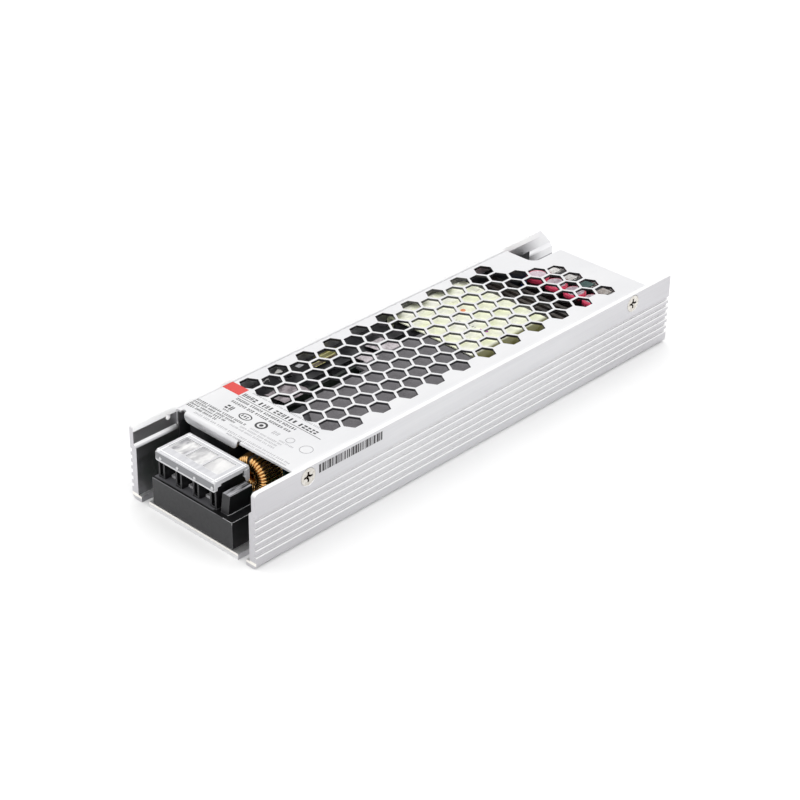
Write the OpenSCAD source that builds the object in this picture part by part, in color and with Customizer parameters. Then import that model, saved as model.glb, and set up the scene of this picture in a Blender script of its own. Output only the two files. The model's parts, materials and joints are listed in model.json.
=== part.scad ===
// Slim enclosed switching power supply: a finned aluminium channel with a
// perforated folded cover, a covered input terminal at the front and the
// supply's board and components inside.
// X runs across the case, Y along it from the input end to the output end,
// Z up. The origin is at the middle of the underside.

/* [Case] */
// Length of the case
body_l = 194; // [194:1:240]
// Width of the case
body_w = 55; // [55:1:70]
// Height of the case
body_h = 26; // [26:0.5:34]
// Thickness of the case floor
floor_t = 2; // [1.5:0.1:2.5]
// Thickness of the side walls below the ledge
wall_low_t = 2.8; // [2.4:0.1:3.2]
// Thickness of the side walls above the ledge
wall_top_t = 1.65; // [1.4:0.05:2]
// Depth of the thin part of the walls, from their top edge to the ledge
wall_top_d = 6.2; // [5:0.1:8]
// Radius of the long lower edges
edge_r = 2; // [0.5:0.1:3]

/* [Grooves] */
// Number of grooves along each side
groove_n = 6; // [2:1:6]
// Spacing of the grooves
groove_pitch = 2.48; // [1.8:0.01:2.5]
// Width of a groove
groove_w = 1.15; // [0.6:0.05:1.2]
// Depth of a groove
groove_d = 0.75; // [0.6:0.05:1.2]
// Height of the lowest groove's middle
groove_z = 4.9; // [3:0.1:6]

/* [Cover] */
// Thickness of the cover's sheet
sheet_t = 0.8; // [0.6:0.05:1.2]
// Outside radius of the cover's folds
fold_r = 1.3; // [1.25:0.05:2]
// Drop of the cover's top below the wall tops
cover_drop = 0.6; // [0:0.1:1.5]
// Open bay in front of the cover
front_bay = 17; // [16.5:0.5:24]
// Open bay behind the cover
rear_bay = 10.7; // [8:0.1:16]
// Spacing of the vent holes across the case
hex_pitch = 7; // [6.8:0.1:9]
// Width of a vent hole across its flats
hex_w = 6.1; // [4:0.1:6.2]
// Plain area in front of the first row of vent holes, to its middle
vent_front = 26; // [12:0.5:60]
// Plain area behind the last row of vent holes, to its middle
vent_rear = 12.9; // [8:0.1:40]
// Plain area beside the vent holes, to the middle of the outermost hole
vent_side = 6.4; // [5:0.1:12]
// Shift of the vent holes across the case
vent_shift = -1.4; // [-2:0.1:2]
// Width and length of the notch over the output trimmer
notch_size = [13.3, 14.4]; // [8:0.1:16]
// Corner radius of that notch
notch_r = 3.5; // [1:0.1:5]
// Radius around the notch that is kept free of vent holes
notch_keepout = 21; // [16:0.5:30]

/* [Board] */
// Height of the board above the case floor
board_lift = 3; // [2.5:0.1:4]
// Thickness of the board
board_t = 1.6; // [1:0.1:2]

/* [Input terminal] */
// Number of input poles
pole_n = 3; // [2:1:3]
// Spacing of the poles
pole_pitch = 7.62; // [6:0.01:7.7]
// Thickness of the ribs between the poles
rib_t = 2.7; // [1.8:0.1:2.8]
// Width of the terminal's base
terminal_w = 35.2; // [34:0.1:36]
// Opening angle of the clear terminal cover, for viewing
cover_open = 0; // [0:5:95]

/* [Components] */
// Diameter of the storage capacitors
bulk_d = 15; // [11:0.1:15]
// Length of the storage capacitors
bulk_l = 30; // [20:0.5:30]
// Diameter of the output capacitors
out_cap_d = 8; // [6:0.1:8.2]
// Height of the output capacitors
out_cap_h = 12.2; // [8:0.1:14]
// Number of turns in each half of the line choke
choke_turns = 9; // [4:1:9]
// Width of the taped transformer
trafo_w = 41.4; // [32:0.1:42]
// Length of the taped transformer
trafo_l = 36.8; // [24:0.1:37.6]

/* [Hidden] */
$fn = 64;

// Overlap of joined shapes, and the clearances of fits, of turning pieces and of screw holes
eps = 0.01;
fit_gap = 0.1;
run_gap = 0.06;
hole_gap = 0.15;

// Case
front_y = -body_l / 2;
rear_y = body_l / 2;
in_low = body_w / 2 - wall_low_t;
in_top = body_w / 2 - wall_top_t;
ledge_rise = in_top - in_low;
ledge_z = body_h - wall_top_d;
groove_r = 0.15;
fin_top_r = (groove_pitch - groove_w) * 0.34;
fin_under_r = (groove_pitch - groove_w) * 0.12;
front_corner_r = 1.3;
rear_corner_r = 0.5;
rear_chamfer = [5.4, 6];
slot_x = in_low - 3.2;
slot_w = 3.5;
slot_d = 5.2;
bolt_r = 1.25;
bolt_x = 17;
bolt_inset = 25;
peg_hole_r = 0.9;
peg_hole_y = front_y + 13.9;
peg_hole_z = body_h - 2.65;

// Cover
cover_z = body_h - cover_drop;
cover_under = cover_z - sheet_t;
cover_half = in_top - fit_gap;
cover_y0 = front_y + front_bay;
cover_y1 = rear_y - rear_bay;
flange_z = ledge_z + 0.2;
tab_x = [-22, 1.4];
tab_drop = 3.2;
tab_r = 2;
relief_w = 1.3;
relief_d = 1.1;
row_step = hex_pitch * sqrt(3) / 2;
row_n = floor((cover_y1 - cover_y0 - vent_front - vent_rear) / row_step) + 1;
col_n = floor((2 * cover_half - 2 * vent_side - hex_pitch / 2) / hex_pitch) + 1;
notch_mid = [-cover_half, cover_y1 - notch_size[1] / 2];

// Cover screws
screw_r = 1.4;
screw_l = 5;
screw_head_r = 2.9;
screw_head_d = 1.4;
screw_sink = 0.05;
screw_recess = [3.5, 0.9];
screw_z = body_h - 3.3;
screw_ys = [cover_y0 + 4.3, cover_y1 - 9.6];
notch_screw_y = cover_y1 - notch_size[1] - 5.8;
cover_screw_spots = [for (s = [-1, 1], y = [screw_ys[0], s < 0 ? notch_screw_y : screw_ys[1]]) [s, y]];

// Board
liner_t = 0.3;
liner_top = ledge_z + 1.2;
liner_y = [cover_y0, cover_y1 - 2.3];
flap_w = 10.2;
flap_y = [front_y + 38.5, front_y + 105.5];
flap_margin = 1.2;
flap_window = [3.4, 4.6];
flap_window_y = front_y + 56;
liner_bolt_gap = 1.2;
liner_pillar_gap = 0.4;
board_gap = 0.3;
board_r = 1;
board_slot_gap = 1.4;
tongue_back = cover_y0 - 1;
board_z = floor_t + board_lift;
top_z = board_z + board_t;
board_half = in_low - liner_t - board_gap;
pillar_r = 2.5;
board_screw_r = 1.4;
board_screw_l = board_t + board_lift - 0.4;
board_head_r = 2.5;
board_head_h = 1.7;
pillar_x = board_half - 2.8;
pillar_ys = [front_y + 33, rear_y - 31];

// Input terminal, from its front face back and from the board up
term_x0 = -18.2;
term_x1 = term_x0 + terminal_w;
term_front = front_y + 0.4;
term_back = cover_y0 - 1.8;
term_step = top_z + 4.8;
term_bevel = 1.2;
skirt_t = 2.3;
skirt_z = floor_t + 0.2;
side_skirt_t = 1.2;
rib_front = front_y + 2;
rib_back = rib_front + 12.3;
rib_top = top_z + 14;
rib_front_r = 1;
rib_back_r = 0.7;
rib_lip = 0.6;
rib_groove_w = rib_t - 2 * rib_lip;
rib_groove_d = 1.5;
pole_mid = -4.2;
body_x0 = pole_mid - pole_n * pole_pitch / 2 - rib_t / 2;
body_x1 = pole_mid + pole_n * pole_pitch / 2 + rib_t / 2;
back_wall_t = 2;
tower_x = [body_x1 + 1.6, body_x1 + 4.8];
tower_y = [rib_front + 0.3, rib_front + 10];
tower_slope = 0.8;
tower_top = top_z + 11;
plate_t = 0.8;
plate_w = pole_pitch - rib_t - 0.4;
plate_upright = 4.2;
plate_front = 2.5;
wire_gap = 4.6;
term_screw_y = rib_front + 6.2;
term_screw_floor = 1;
washer_w = pole_pitch - rib_t - 0.8;
clamp_grip = 3;
clamp_head_r = (pole_pitch - rib_t) / 2 - 0.36;
clamp_head_h = 1.9;
term_screw_r = clamp_head_r * 7 / 12;

// Clear terminal cover and its hinge
lid_t = 1;
lid_r = 1;
lid_edge_r = 0.8;
lid_z = top_z + 14.2;
lid_y0 = front_y + 0.6;
lid_y1 = front_y + 14.8;
lid_ear_t = 0.8;
lid_ear_gap = 0.2;
lid_inset = 0.5;
lid_x0 = body_x0 + lid_inset;
lid_x1 = body_x1 + lid_ear_gap + lid_ear_t;
lip_z = top_z + 11.7;
lip_t = 0.9;
lip_top = lid_z + lid_t - 0.2;
lip_r = 0.6;
dot_r = 0.4;
dot_shift = 1.3;
dot_h = 0.25;
flange_t = 0.8;
flange_y = lid_y0 + 0.2;
hinge_y = front_y + 13.5;
hinge_z = top_z + 12.8;
hinge_r = 0.5;
ear_w = 2;
ear_d = 1.2;
ear_r = 0.4;
ear_swing = norm([ear_w / 2, ear_d]) + lid_ear_gap;
window = [7, 7.6];
window_r = 0.5;
window_d = 0.45;

// Line choke: a ring core standing on edge, with two windings
choke_x = 6.8;
choke_wire_r = 0.38;
choke_mid_r = 4.6;
choke_core_r = 1.5;
choke_core_l = 4.4;
choke_loop_r = choke_core_r + choke_wire_r + 0.1;
choke_out_r = choke_mid_r + choke_loop_r + choke_wire_r;
choke_base_t = 1.5;
choke_base_w = 12;
choke_base_h = 4.85;
choke_y = cover_y0 + 3.9;
choke_z = top_z + choke_base_t + choke_out_r;
choke_step = 18.5;

// Parts on the input side, placed from the front end
filter_x = [-21.5, -3.8];
filter_y = [cover_y0 + 1.6, cover_y0 + 9.8];
filter_h = 14;
case_r = 0.6;
case_wall = 0.8;
case_sink = 0.5;
disc_lift = 1.2;
disc_bevel = 0.8;
lead_r = 0.4;
bar_y = [front_y + 39, front_y + 102];
bar_t = 3;
bar_x = -in_low + liner_t;
bar_top = ledge_z - 0.7;
bar_bevel = [1, 0.6];
package_lift = 2;
package_t = 4.5;
package_w = 10.2;
package_h = 8.6;
package_n = 3;
package_pitch = 12.6;
package_y = bar_y[0] + 24;
bridge_t = 3.5;
bridge_w = 20;
bridge_h = 8.4;
clamp_t = 0.8;
clamp_inset = 0.6;
clamp_z = [top_z + 4, top_z + 8.5];
boost_x = [-4.4, 22];
boost_y = [front_y + 42, front_y + 71];
boost_mid = [(boost_x[0] + boost_x[1]) / 2, (boost_y[0] + boost_y[1]) / 2];
boost_side = 5;
boost_yoke = 4;
boost_post_d = 9;
boost_coil_gap = 0.3;
boost_coil_w = 3.1;
bulk_y = front_y + 75;
bulk_mid = 8.7;
bulk_gap = 0.4;
stack_top = top_z + bulk_d;
pad_t = 1;
pad_x = [-4.6, 22.4];
pad_wide_x = -8.6;
pad_slant = [12.6, 8.5];
pad_inset = 0.5;
pad_over = 2.7;
card_x = -12.6;
card_t = 1.2;
card_h = 13.4;
card_y = [front_y + 48, front_y + 82];
chip_t = 1.7;

// Parts on the output side, placed from the rear end
trafo_x = -in_low + 0.5;
trafo_y = rear_y - 85.8;
trafo_top = top_z + 16.4;
tape_t = 0.4;
tape_left_r = 1;
tape_right_r = 4.6;
core_x = [trafo_x + 2, trafo_x + trafo_w - 2];
core_y = [trafo_y + 0.8, trafo_y + trafo_l - 0.8];
core_z = [top_z + 2.6, top_z + 13.8];
core_mid = (core_x[0] + core_x[1]) / 2;
core_leg = 5.5;
core_post = 10.9;
coil_gap = 0.2;
coil_r = 2;
film_gap = 0.6;
film_size = [5.6, 12, 10.5];
film_ys = [trafo_y + 1, trafo_y + 15];
sink_y = [rear_y - 45, rear_y - 34.4];
sink_half = board_half - 2;
sink_top = top_z + 13.4;
sink_root = 4;
fin_n = 4;
fin_t = 1.4;
rectifier_n = 4;
rectifier_pitch = 11.4;
rectifier_mid = -0.5;
rectifier_t = 3.2;
rectifier_w = 10;
rectifier_h = 9.6;
rectifier_lift = 1.6;
out_cap_y = rear_y - 21.2;
out_cap_n = 5;
out_cap_pitch = 8.3;
out_cap_mid = 3.2;
out_front = rear_y - 16.4;
out_rear = rear_y - 2.4;
out_mid = -0.8;
out_poles = 4;
out_x0 = out_mid - out_poles * pole_pitch / 2 - rib_t / 2;
out_x1 = out_mid + out_poles * pole_pitch / 2 + rib_t / 2;
out_wall_t = 1.6;
out_bevel = 1;
out_top = top_z + 12;
out_step = top_z + 4.4;
out_screw_y = out_front + 7.6;
out_washer_tail = 2.6;
out_plate_front = 0.3;
trimmer_w = 6.4;
trimmer_at = [-board_half + trimmer_w / 2 + 0.1, rear_y - 14.6];
trimmer_h = 4.6;
rotor_r = 2.2;
rotor_depth = 1;
rotor_stand = 0.8;
rotor_lift = 0.05;
rotor_slot = [0.7, 0.7];
led_at = [trimmer_at[0], rear_y - 9.2];
led_r = 1.5;
led_h = 4;
led_rim_r = 1.9;
led_rim_h = 1;

// A 2D drawing in X and Z, drawn out along Y from y0 to y1
module along_y(y0, y1) {
  translate([0, y1, 0]) rotate([90, 0, 0]) linear_extrude(y1 - y0) children();
}

// A 2D drawing in Y and Z, drawn out along X from x0 to x1
module along_x(x0, x1) {
  translate([x0, 0, 0]) rotate([90, 0, 90]) linear_extrude(x1 - x0) children();
}

// A block between two opposite corners
module block(low, high) {
  translate(low) cube(high - low);
}

// A rectangle between two opposite corners, with rounded corners
module round_rect(low, high, r) {
  size = high - low;
  translate(low + [r, 0]) square([size[0] - 2 * r, size[1]]);
  translate(low + [0, r]) square([size[0], size[1] - 2 * r]);
  for (x = [low[0] + r, high[0] - r], y = [low[1] + r, high[1] - r])
    translate([x, y]) circle(r);
}

// What is cut from a square corner to round it, with the corner at the origin and the piece at +X and +Y
module corner_waste(r) {
  difference() {
    translate([-eps, -eps]) square(r + eps);
    translate([r, r]) circle(r);
  }
}

// A cross recess for a screwdriver, cut down from z = 0
module cross_recess(size, depth) {
  for (a = [0, 90])
    rotate(a) translate([-size / 2, -size * 0.1, -depth]) cube([size, size * 0.2, depth + eps]);
  // Cone in the middle
  translate([0, 0, -depth * 1.3]) cylinder(r1 = size * 0.06, r2 = size * 0.27, h = depth * 1.3 + eps);
}

// A pan-head screw with its seat at z = 0 and its shank down
module pan_screw(r, l, head_r, head_h) {
  difference() {
    rotate_extrude() polygon([[0, -l], [r - 0.3, -l], [r, -l + 0.4], [r, 0], [head_r, 0],
      [head_r, head_h * 0.6], [head_r * 0.8, head_h], [0, head_h]]);
    translate([0, 0, head_h]) cross_recess(head_r * 1.3, head_h * 0.55);
  }
}

// Finned aluminium channel

module groove() {
  round_rect([-groove_d, -groove_w / 2], [groove_d, groove_w / 2], groove_r);
  // Rounded edges of the fins below and above it
  for (side = [0, 1]) mirror([side, 0]) {
    translate([0, -groove_w / 2]) rotate(180) corner_waste(fin_top_r);
    translate([0, groove_w / 2]) mirror([1, 0]) corner_waste(fin_under_r);
  }
}

module channel_profile() {
  half = body_w / 2;
  difference() {
    union() {
      translate([-half, edge_r]) square([body_w, body_h - edge_r]);
      translate([-half + edge_r, 0]) square([body_w - 2 * edge_r, edge_r + eps]);
      for (s = [-1, 1]) translate([s * (half - edge_r), edge_r]) circle(edge_r);
    }
    polygon([[-in_low, floor_t], [in_low, floor_t], [in_low, ledge_z - ledge_rise], [in_top, ledge_z],
      [in_top, body_h + 1], [-in_top, body_h + 1], [-in_top, ledge_z], [-in_low, ledge_z - ledge_rise]]);
    for (s = [-1, 1], i = [0:groove_n - 1])
      translate([s * half, groove_z + i * groove_pitch]) groove();
  }
}

// An open-ended mounting slot, open at y = 0 and running to +Y
module end_slot() {
  end_y = slot_d - slot_w / 2;
  translate([0, end_y, -1]) cylinder(d = slot_w, h = floor_t + 2);
  block([-slot_w / 2, -1, -1], [slot_w / 2, end_y, floor_t + 1]);
}

module floor_holes(r) {
  for (x = [-bolt_x, bolt_x], y = [front_y + bolt_inset, rear_y - bolt_inset]) translate([x, y]) circle(r);
}

// Children at each cover screw, with +Z out of the wall; the left rear one stands in front of the notch
module cover_screw_places() {
  for (p = cover_screw_spots)
    translate([p[0] * body_w / 2, p[1], screw_z]) rotate([0, p[0] * 90, 0]) children();
}

module base_channel() {
  color("gainsboro") difference() {
    along_y(front_y, rear_y) channel_profile();
    // Rounded upper corners of the wall ends, and the long chamfer at the rear left
    along_x(-body_w, body_w) translate([front_y, body_h]) mirror([0, 1]) corner_waste(front_corner_r);
    along_x(0, body_w) translate([rear_y, body_h]) rotate(180) corner_waste(rear_corner_r);
    along_x(-body_w, 0) polygon([[rear_y - rear_chamfer[0], body_h + eps], [rear_y + eps, body_h + eps],
      [rear_y + eps, body_h - rear_chamfer[1]]]);
    for (s = [-1, 1], turn = [0, 180])
      rotate(turn) translate([s * slot_x, front_y, 0]) end_slot();
    // Tapped fixing holes in the floor
    translate([0, 0, -1]) linear_extrude(floor_t + 2) floor_holes(bolt_r);
    // Countersunk holes for the cover screws
    cover_screw_places() {
      translate([0, 0, -wall_top_t - 1]) cylinder(r = screw_r + hole_gap, h = wall_top_t + 2);
      translate([0, 0, -screw_head_d])
        cylinder(r1 = screw_r + hole_gap, r2 = screw_head_r + hole_gap, h = screw_head_d + eps);
    }
    // Small locating hole in the left wall
    translate([-body_w / 2 - 1, peg_hole_y, peg_hole_z]) rotate([0, 90, 0])
      cylinder(r = peg_hole_r, h = wall_top_t + 2);
  }
}

// Perforated folded cover

module cover_profile() {
  difference() {
    union() {
      translate([-cover_half, flange_z]) square([2 * cover_half, cover_z - fold_r - flange_z]);
      round_rect([-cover_half, cover_z - 4 * fold_r], [cover_half, cover_z], fold_r);
    }
    round_rect([-cover_half + sheet_t, flange_z - 4], [cover_half - sheet_t, cover_under], fold_r - sheet_t);
  }
}

// The front tab with its fold, in Y and Z
module tab_profile() {
  low = cover_z - tab_drop;
  difference() {
    union() {
      translate([cover_y0, low]) square([sheet_t, tab_drop - fold_r]);
      translate([cover_y0 + fold_r, cover_z - fold_r]) circle(fold_r);
      translate([cover_y0 + fold_r, cover_under]) square([fold_r, sheet_t]);
    }
    translate([cover_y0 + fold_r, cover_z - fold_r]) circle(fold_r - sheet_t);
    translate([cover_y0 + sheet_t, low - 1]) square([3 * fold_r, tab_drop + 1 - fold_r]);
    translate([cover_y0 + fold_r, low - 1]) square([3 * fold_r, tab_drop + 1 - sheet_t]);
  }
}

module vent_holes() {
  for (row = [0:row_n - 1], col = [0:col_n - 1]) {
    x = (col - (col_n - 1) / 2 + (row % 2 == 0 ? -0.25 : 0.25)) * hex_pitch + vent_shift;
    y = cover_y0 + vent_front + row * row_step;
    if (norm([x, y] - notch_mid) > notch_keepout)
      translate([x, y]) rotate(90) circle(d = hex_w / cos(30), $fn = 6);
  }
}

module notch_outline() {
  x1 = -cover_half + notch_size[0];
  y0 = cover_y1 - notch_size[1];
  round_rect([-body_w, y0], [x1, cover_y1 + 10], notch_r);
}

module top_cover() {
  color("whitesmoke") difference() {
    union() {
      along_y(cover_y0 + fold_r, cover_y1) cover_profile();
      difference() {
        along_y(cover_y0, cover_y0 + 2 * fold_r) cover_profile();
        block([tab_x[0], cover_y0 - 1, flange_z], [tab_x[1], cover_y0 + fold_r + eps, body_h]);
      }
      along_x(tab_x[0], tab_x[1]) tab_profile();
    }
    // Rounded lower corners of the tab
    along_y(cover_y0 - 1, cover_y0 + 1) {
      translate([tab_x[0], cover_z - tab_drop]) corner_waste(tab_r);
      translate([tab_x[1], cover_z - tab_drop]) mirror([1, 0]) corner_waste(tab_r);
    }
    // Bend reliefs at both ends of the tab
    for (x = [tab_x[0] - relief_w, tab_x[1]])
      block([x, cover_y0 - 1, cover_under - 1], [x + relief_w, cover_y0 + relief_d, cover_z + 1]);
    translate([0, 0, cover_under - 1]) linear_extrude(sheet_t + 2) vent_holes();
    translate([0, 0, flange_z - 1]) linear_extrude(body_h) notch_outline();
    cover_screw_places() translate([0, 0, cover_half - body_w / 2])
      cylinder(r = screw_r + run_gap, h = 4 * sheet_t, center = true);
    // Slots below them, so that the cover drops over the screws
    for (p = cover_screw_spots)
      block([p[0] * cover_half - 2 * sheet_t, p[1] - screw_r - run_gap, 0],
        [p[0] * cover_half + 2 * sheet_t, p[1] + screw_r + run_gap, screw_z]);
  }
}

module cover_screws() {
  color("silver") cover_screw_places() difference() {
    union() {
      translate([0, 0, -screw_l]) cylinder(r = screw_r, h = screw_l - screw_head_d + eps);
      translate([0, 0, -screw_head_d])
        cylinder(r1 = screw_r, r2 = screw_head_r, h = screw_head_d - screw_sink);
    }
    cross_recess(screw_recess[0], screw_recess[1]);
  }
}

// Board and what carries it

module pillar_places() {
  for (x = [-pillar_x, pillar_x], y = pillar_ys) translate([x, y]) children();
}

module insulation_liner() {
  color("#202022") difference() {
    union() {
      along_y(liner_y[0], liner_y[1]) difference() {
        translate([-in_low, floor_t]) square([2 * in_low, liner_top - floor_t]);
        translate([-in_low + liner_t, floor_t + liner_t]) square([2 * (in_low - liner_t), body_h]);
      }
      // Flap folded over the heat bar
      block([-in_low, flap_y[0], liner_top - liner_t], [-in_low + flap_w, flap_y[1], liner_top]);
    }
    // Window in the flap, over the bar
    block([-in_low + flap_margin, flap_window_y, liner_top - 1],
      [-in_low + flap_margin + flap_window[0], flap_window_y + flap_window[1], liner_top + 1]);
    translate([0, 0, floor_t - 1]) linear_extrude(2) {
      floor_holes(bolt_r + liner_bolt_gap);
      pillar_places() circle(pillar_r + liner_pillar_gap);
    }
  }
}

module main_board() {
  color("darkgreen") difference() {
    translate([0, 0, board_z]) linear_extrude(board_t) {
      round_rect([-board_half, tongue_back], [board_half, out_rear], board_r);
      // Tongue under the input terminal
      translate([term_x0 + board_gap, term_front + skirt_t + board_gap])
        square([terminal_w - side_skirt_t - 2 * board_gap,
          tongue_back + 2 * board_r - term_front - skirt_t - board_gap]);
    }
    translate([0, 0, board_z - 1]) linear_extrude(board_t + 2) {
      pillar_places() circle(board_screw_r + fit_gap);
      // Rear corners cut back for the screws in the mounting slots
      for (side = [0, 1])
        mirror([side, 0]) translate([slot_x - slot_w / 2 - board_slot_gap, rear_y - slot_d - board_slot_gap])
          square([slot_w + 4 * board_slot_gap, slot_d + board_slot_gap]);
    }
  }
}

module board_pillars() {
  color("silver") pillar_places() translate([0, 0, floor_t]) difference() {
    cylinder(r = pillar_r, h = board_lift, $fn = 6);
    cylinder(r = board_screw_r + run_gap, h = board_lift + 1);
  }
}

module board_screws() {
  color("silver") pillar_places() translate([0, 0, top_z])
    pan_screw(board_screw_r, board_screw_l, board_head_r, board_head_h);
}

// Input terminal

module terminal_side() {
  // Base with its front skirt over the edge of the board, in Y and Z
  polygon([[term_front, skirt_z], [term_front + skirt_t, skirt_z], [term_front + skirt_t, top_z],
    [term_back, top_z], [term_back, term_step - term_bevel], [term_back - term_bevel, term_step],
    [term_front, term_step]]);
}

module rib_side() {
  // One upright rib, in Y and Z, with its shoulder in front of the hinge
  difference() {
    translate([rib_front, term_step - eps]) square([rib_back - rib_front, rib_top - term_step + eps]);
    translate([rib_front, rib_top]) mirror([0, 1]) corner_waste(rib_front_r);
    translate([rib_back, rib_top]) rotate(180) corner_waste(rib_back_r);
  }
}

module tower_side() {
  // End tower with its sloping front, in Y and Z
  polygon([[tower_y[0], term_step - eps], [tower_y[1], term_step - eps], [tower_y[1], tower_top],
    [tower_y[0] + tower_slope, tower_top]]);
}

// Children at each pole of a terminal with n poles
module pole_places(n, mid) {
  for (i = [0:n - 1]) translate([mid + (i - (n - 1) / 2) * pole_pitch, 0, 0]) children();
}

module input_terminal_block() {
  color("#26262a") {
    terminal_body();
    // Hinge pins of the clear cover
    for (x = [[lid_x0, body_x0 + rib_t], [body_x1 - eps, lid_x1]])
      translate([x[0], hinge_y, hinge_z]) rotate([0, 90, 0]) cylinder(r = hinge_r, h = x[1] - x[0]);
  }
}

module terminal_body() {
  difference() {
    union() {
      along_x(term_x0, term_x1) terminal_side();
      block([term_x1 - side_skirt_t, term_front, skirt_z], [term_x1, rib_back, top_z + eps]);
      // Ribs between the poles, and the wall behind them
      pole_places(pole_n + 1, pole_mid) along_x(-rib_t / 2, rib_t / 2) rib_side();
      block([body_x0, rib_back - back_wall_t, term_step - eps], [body_x1, rib_back, rib_top - rib_back_r]);
      along_x(tower_x[0], tower_x[1]) tower_side();
    }
    // Recess for the clear cover's left ear
    block([body_x0 - 1, hinge_y - ear_swing, hinge_z - ear_swing],
      [lid_x0 + lid_ear_t + lid_ear_gap, rib_back + 1, rib_top + 1]);
    // Grooves down the fronts of the ribs
    pole_places(pole_n + 1, pole_mid)
      block([-rib_groove_w / 2, rib_front - 1, term_step + rib_groove_d / 2],
        [rib_groove_w / 2, rib_front + rib_groove_d, rib_top + 1]);
    pole_places(pole_n, pole_mid) translate([0, term_screw_y, top_z + term_screw_floor])
      cylinder(r = term_screw_r + fit_gap, h = term_step);
  }
}

// A contact plate: flat under the screw, with its inner end turned up
module contact_plate(y0, y1, screw_y, z) {
  difference() {
    along_x(-plate_w / 2, plate_w / 2)
      polygon([[y0, z], [y1, z], [y1, z + plate_upright], [y1 - plate_t, z + plate_upright],
        [y1 - plate_t, z + plate_t], [y0, z + plate_t]]);
    translate([0, screw_y, z - 1]) cylinder(r = term_screw_r + fit_gap, h = plate_t + 2);
  }
}

// A captive screw with its clamp washer, which stands off the plate by gap and is longer by tail towards -Y
module clamp_screw(screw_y, z, gap, tail) {
  translate([0, screw_y, z + plate_t + gap]) {
    difference() {
      translate([-washer_w / 2, -washer_w / 2 - tail, 0]) cube([washer_w, washer_w + tail, plate_t]);
      translate([0, 0, -1]) cylinder(r = term_screw_r, h = plate_t + 2);
    }
    translate([0, 0, plate_t])
      pan_screw(term_screw_r, plate_t + gap + clamp_grip, clamp_head_r, clamp_head_h);
  }
}

module input_terminal_plates() {
  color("silver") pole_places(pole_n, pole_mid)
    contact_plate(rib_front + plate_front, rib_back - back_wall_t - fit_gap, term_screw_y, term_step);
}

module input_terminal_screws() {
  color("lightgray") pole_places(pole_n, pole_mid) clamp_screw(term_screw_y, term_step, wire_gap, 0);
}

module lid_ear(x) {
  difference() {
    along_x(x, x + lid_ear_t)
      round_rect([hinge_y - ear_w / 2, hinge_z - ear_d], [hinge_y + ear_w / 2, lid_z + lid_t / 2], ear_r);
    translate([x - 1, hinge_y, hinge_z]) rotate([0, 90, 0])
      cylinder(r = hinge_r + run_gap, h = lid_ear_t + 2);
  }
}

module lid_flange() {
  // Steps up from the front lip to a shallow edge along the lid, in Y and Z: reach and height of each step
  for (s = [[1, 0.3], [2.4, 1.4], [11, 2.1]])
    translate([flange_y, lip_z + s[1]]) square([s[0], lid_z - lip_z - s[1] + eps]);
}

module terminal_cover() {
  color("white", 0.4) translate([0, hinge_y, hinge_z]) rotate([-cover_open, 0, 0])
    translate([0, -hinge_y, -hinge_z]) {
      difference() {
        translate([0, 0, lid_z]) linear_extrude(lid_t) round_rect([lid_x0, lid_y0], [lid_x1, lid_y1], lid_r);
        // Rear edge, rounded to swing clear of the choke
        along_x(lid_x0 - 1, lid_x1 + 1)
          translate([lid_y1, lid_z + lid_t]) rotate(180) corner_waste(lid_edge_r);
        // Shallow windows over the screws
        pole_places(pole_n, pole_mid) translate([0, term_screw_y, lid_z + lid_t - window_d])
          linear_extrude(lid_t) round_rect(-window / 2, window / 2, window_r);
      }
      // Front lip, with a raised dot beside each rib
      along_y(lid_y0, lid_y0 + lip_t) round_rect([lid_x0, lip_z], [lid_x1, lip_top], lip_r);
      pole_places(pole_n + 1, pole_mid) translate([dot_shift, lid_y0 + lip_t / 2, (lip_z + lid_z) / 2])
        rotate([90, 0, 0]) cylinder(r = dot_r, h = lip_t / 2 + dot_h);
      along_x(lid_x1 - flange_t, lid_x1) lid_flange();
      for (x = [lid_x0, lid_x1 - lid_ear_t]) lid_ear(x);
    }
}

// Line filter

module choke_stadium(r) {
  // Section of the ring core, in radius and Y
  square([2 * r, choke_core_l], center = true);
  for (s = [-1, 1]) translate([0, s * choke_core_l / 2]) circle(r);
}

module line_choke_core() {
  color("#3a3a3c") translate([choke_x, choke_y, choke_z]) rotate([90, 0, 0])
    rotate_extrude() translate([choke_mid_r, 0]) choke_stadium(choke_core_r);
}

// One closed turn of wire around the core, standing in X and Y with its middle at the origin
module choke_turn() {
  for (s = [-1, 1]) {
    translate([0, s * choke_core_l / 2, 0]) rotate([0, 0, s > 0 ? 0 : 180])
      rotate_extrude(angle = 180) translate([choke_loop_r, 0]) circle(choke_wire_r, $fn = 24);
    translate([s * choke_loop_r, choke_core_l / 2, 0]) rotate([90, 0, 0])
      cylinder(r = choke_wire_r, h = choke_core_l, $fn = 24);
  }
}

module line_choke_winding() {
  color("goldenrod") for (side = [0, 180], i = [0:choke_turns - 1])
    translate([choke_x, choke_y, choke_z])
      rotate([0, side + (i - (choke_turns - 1) / 2) * choke_step, 0])
        translate([choke_mid_r, 0, 0]) choke_turn();
}

module line_choke_base() {
  reach = choke_core_l / 2 + choke_loop_r + choke_wire_r;
  color("#1c1c1e") difference() {
    block([choke_x - choke_base_w / 2, choke_y - reach, top_z],
      [choke_x + choke_base_w / 2, choke_y + reach, top_z + choke_base_h]);
    translate([choke_x, choke_y + reach + 1, choke_z]) rotate([90, 0, 0])
      cylinder(r = choke_out_r + hole_gap, h = 2 * reach + 2);
  }
}

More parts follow.
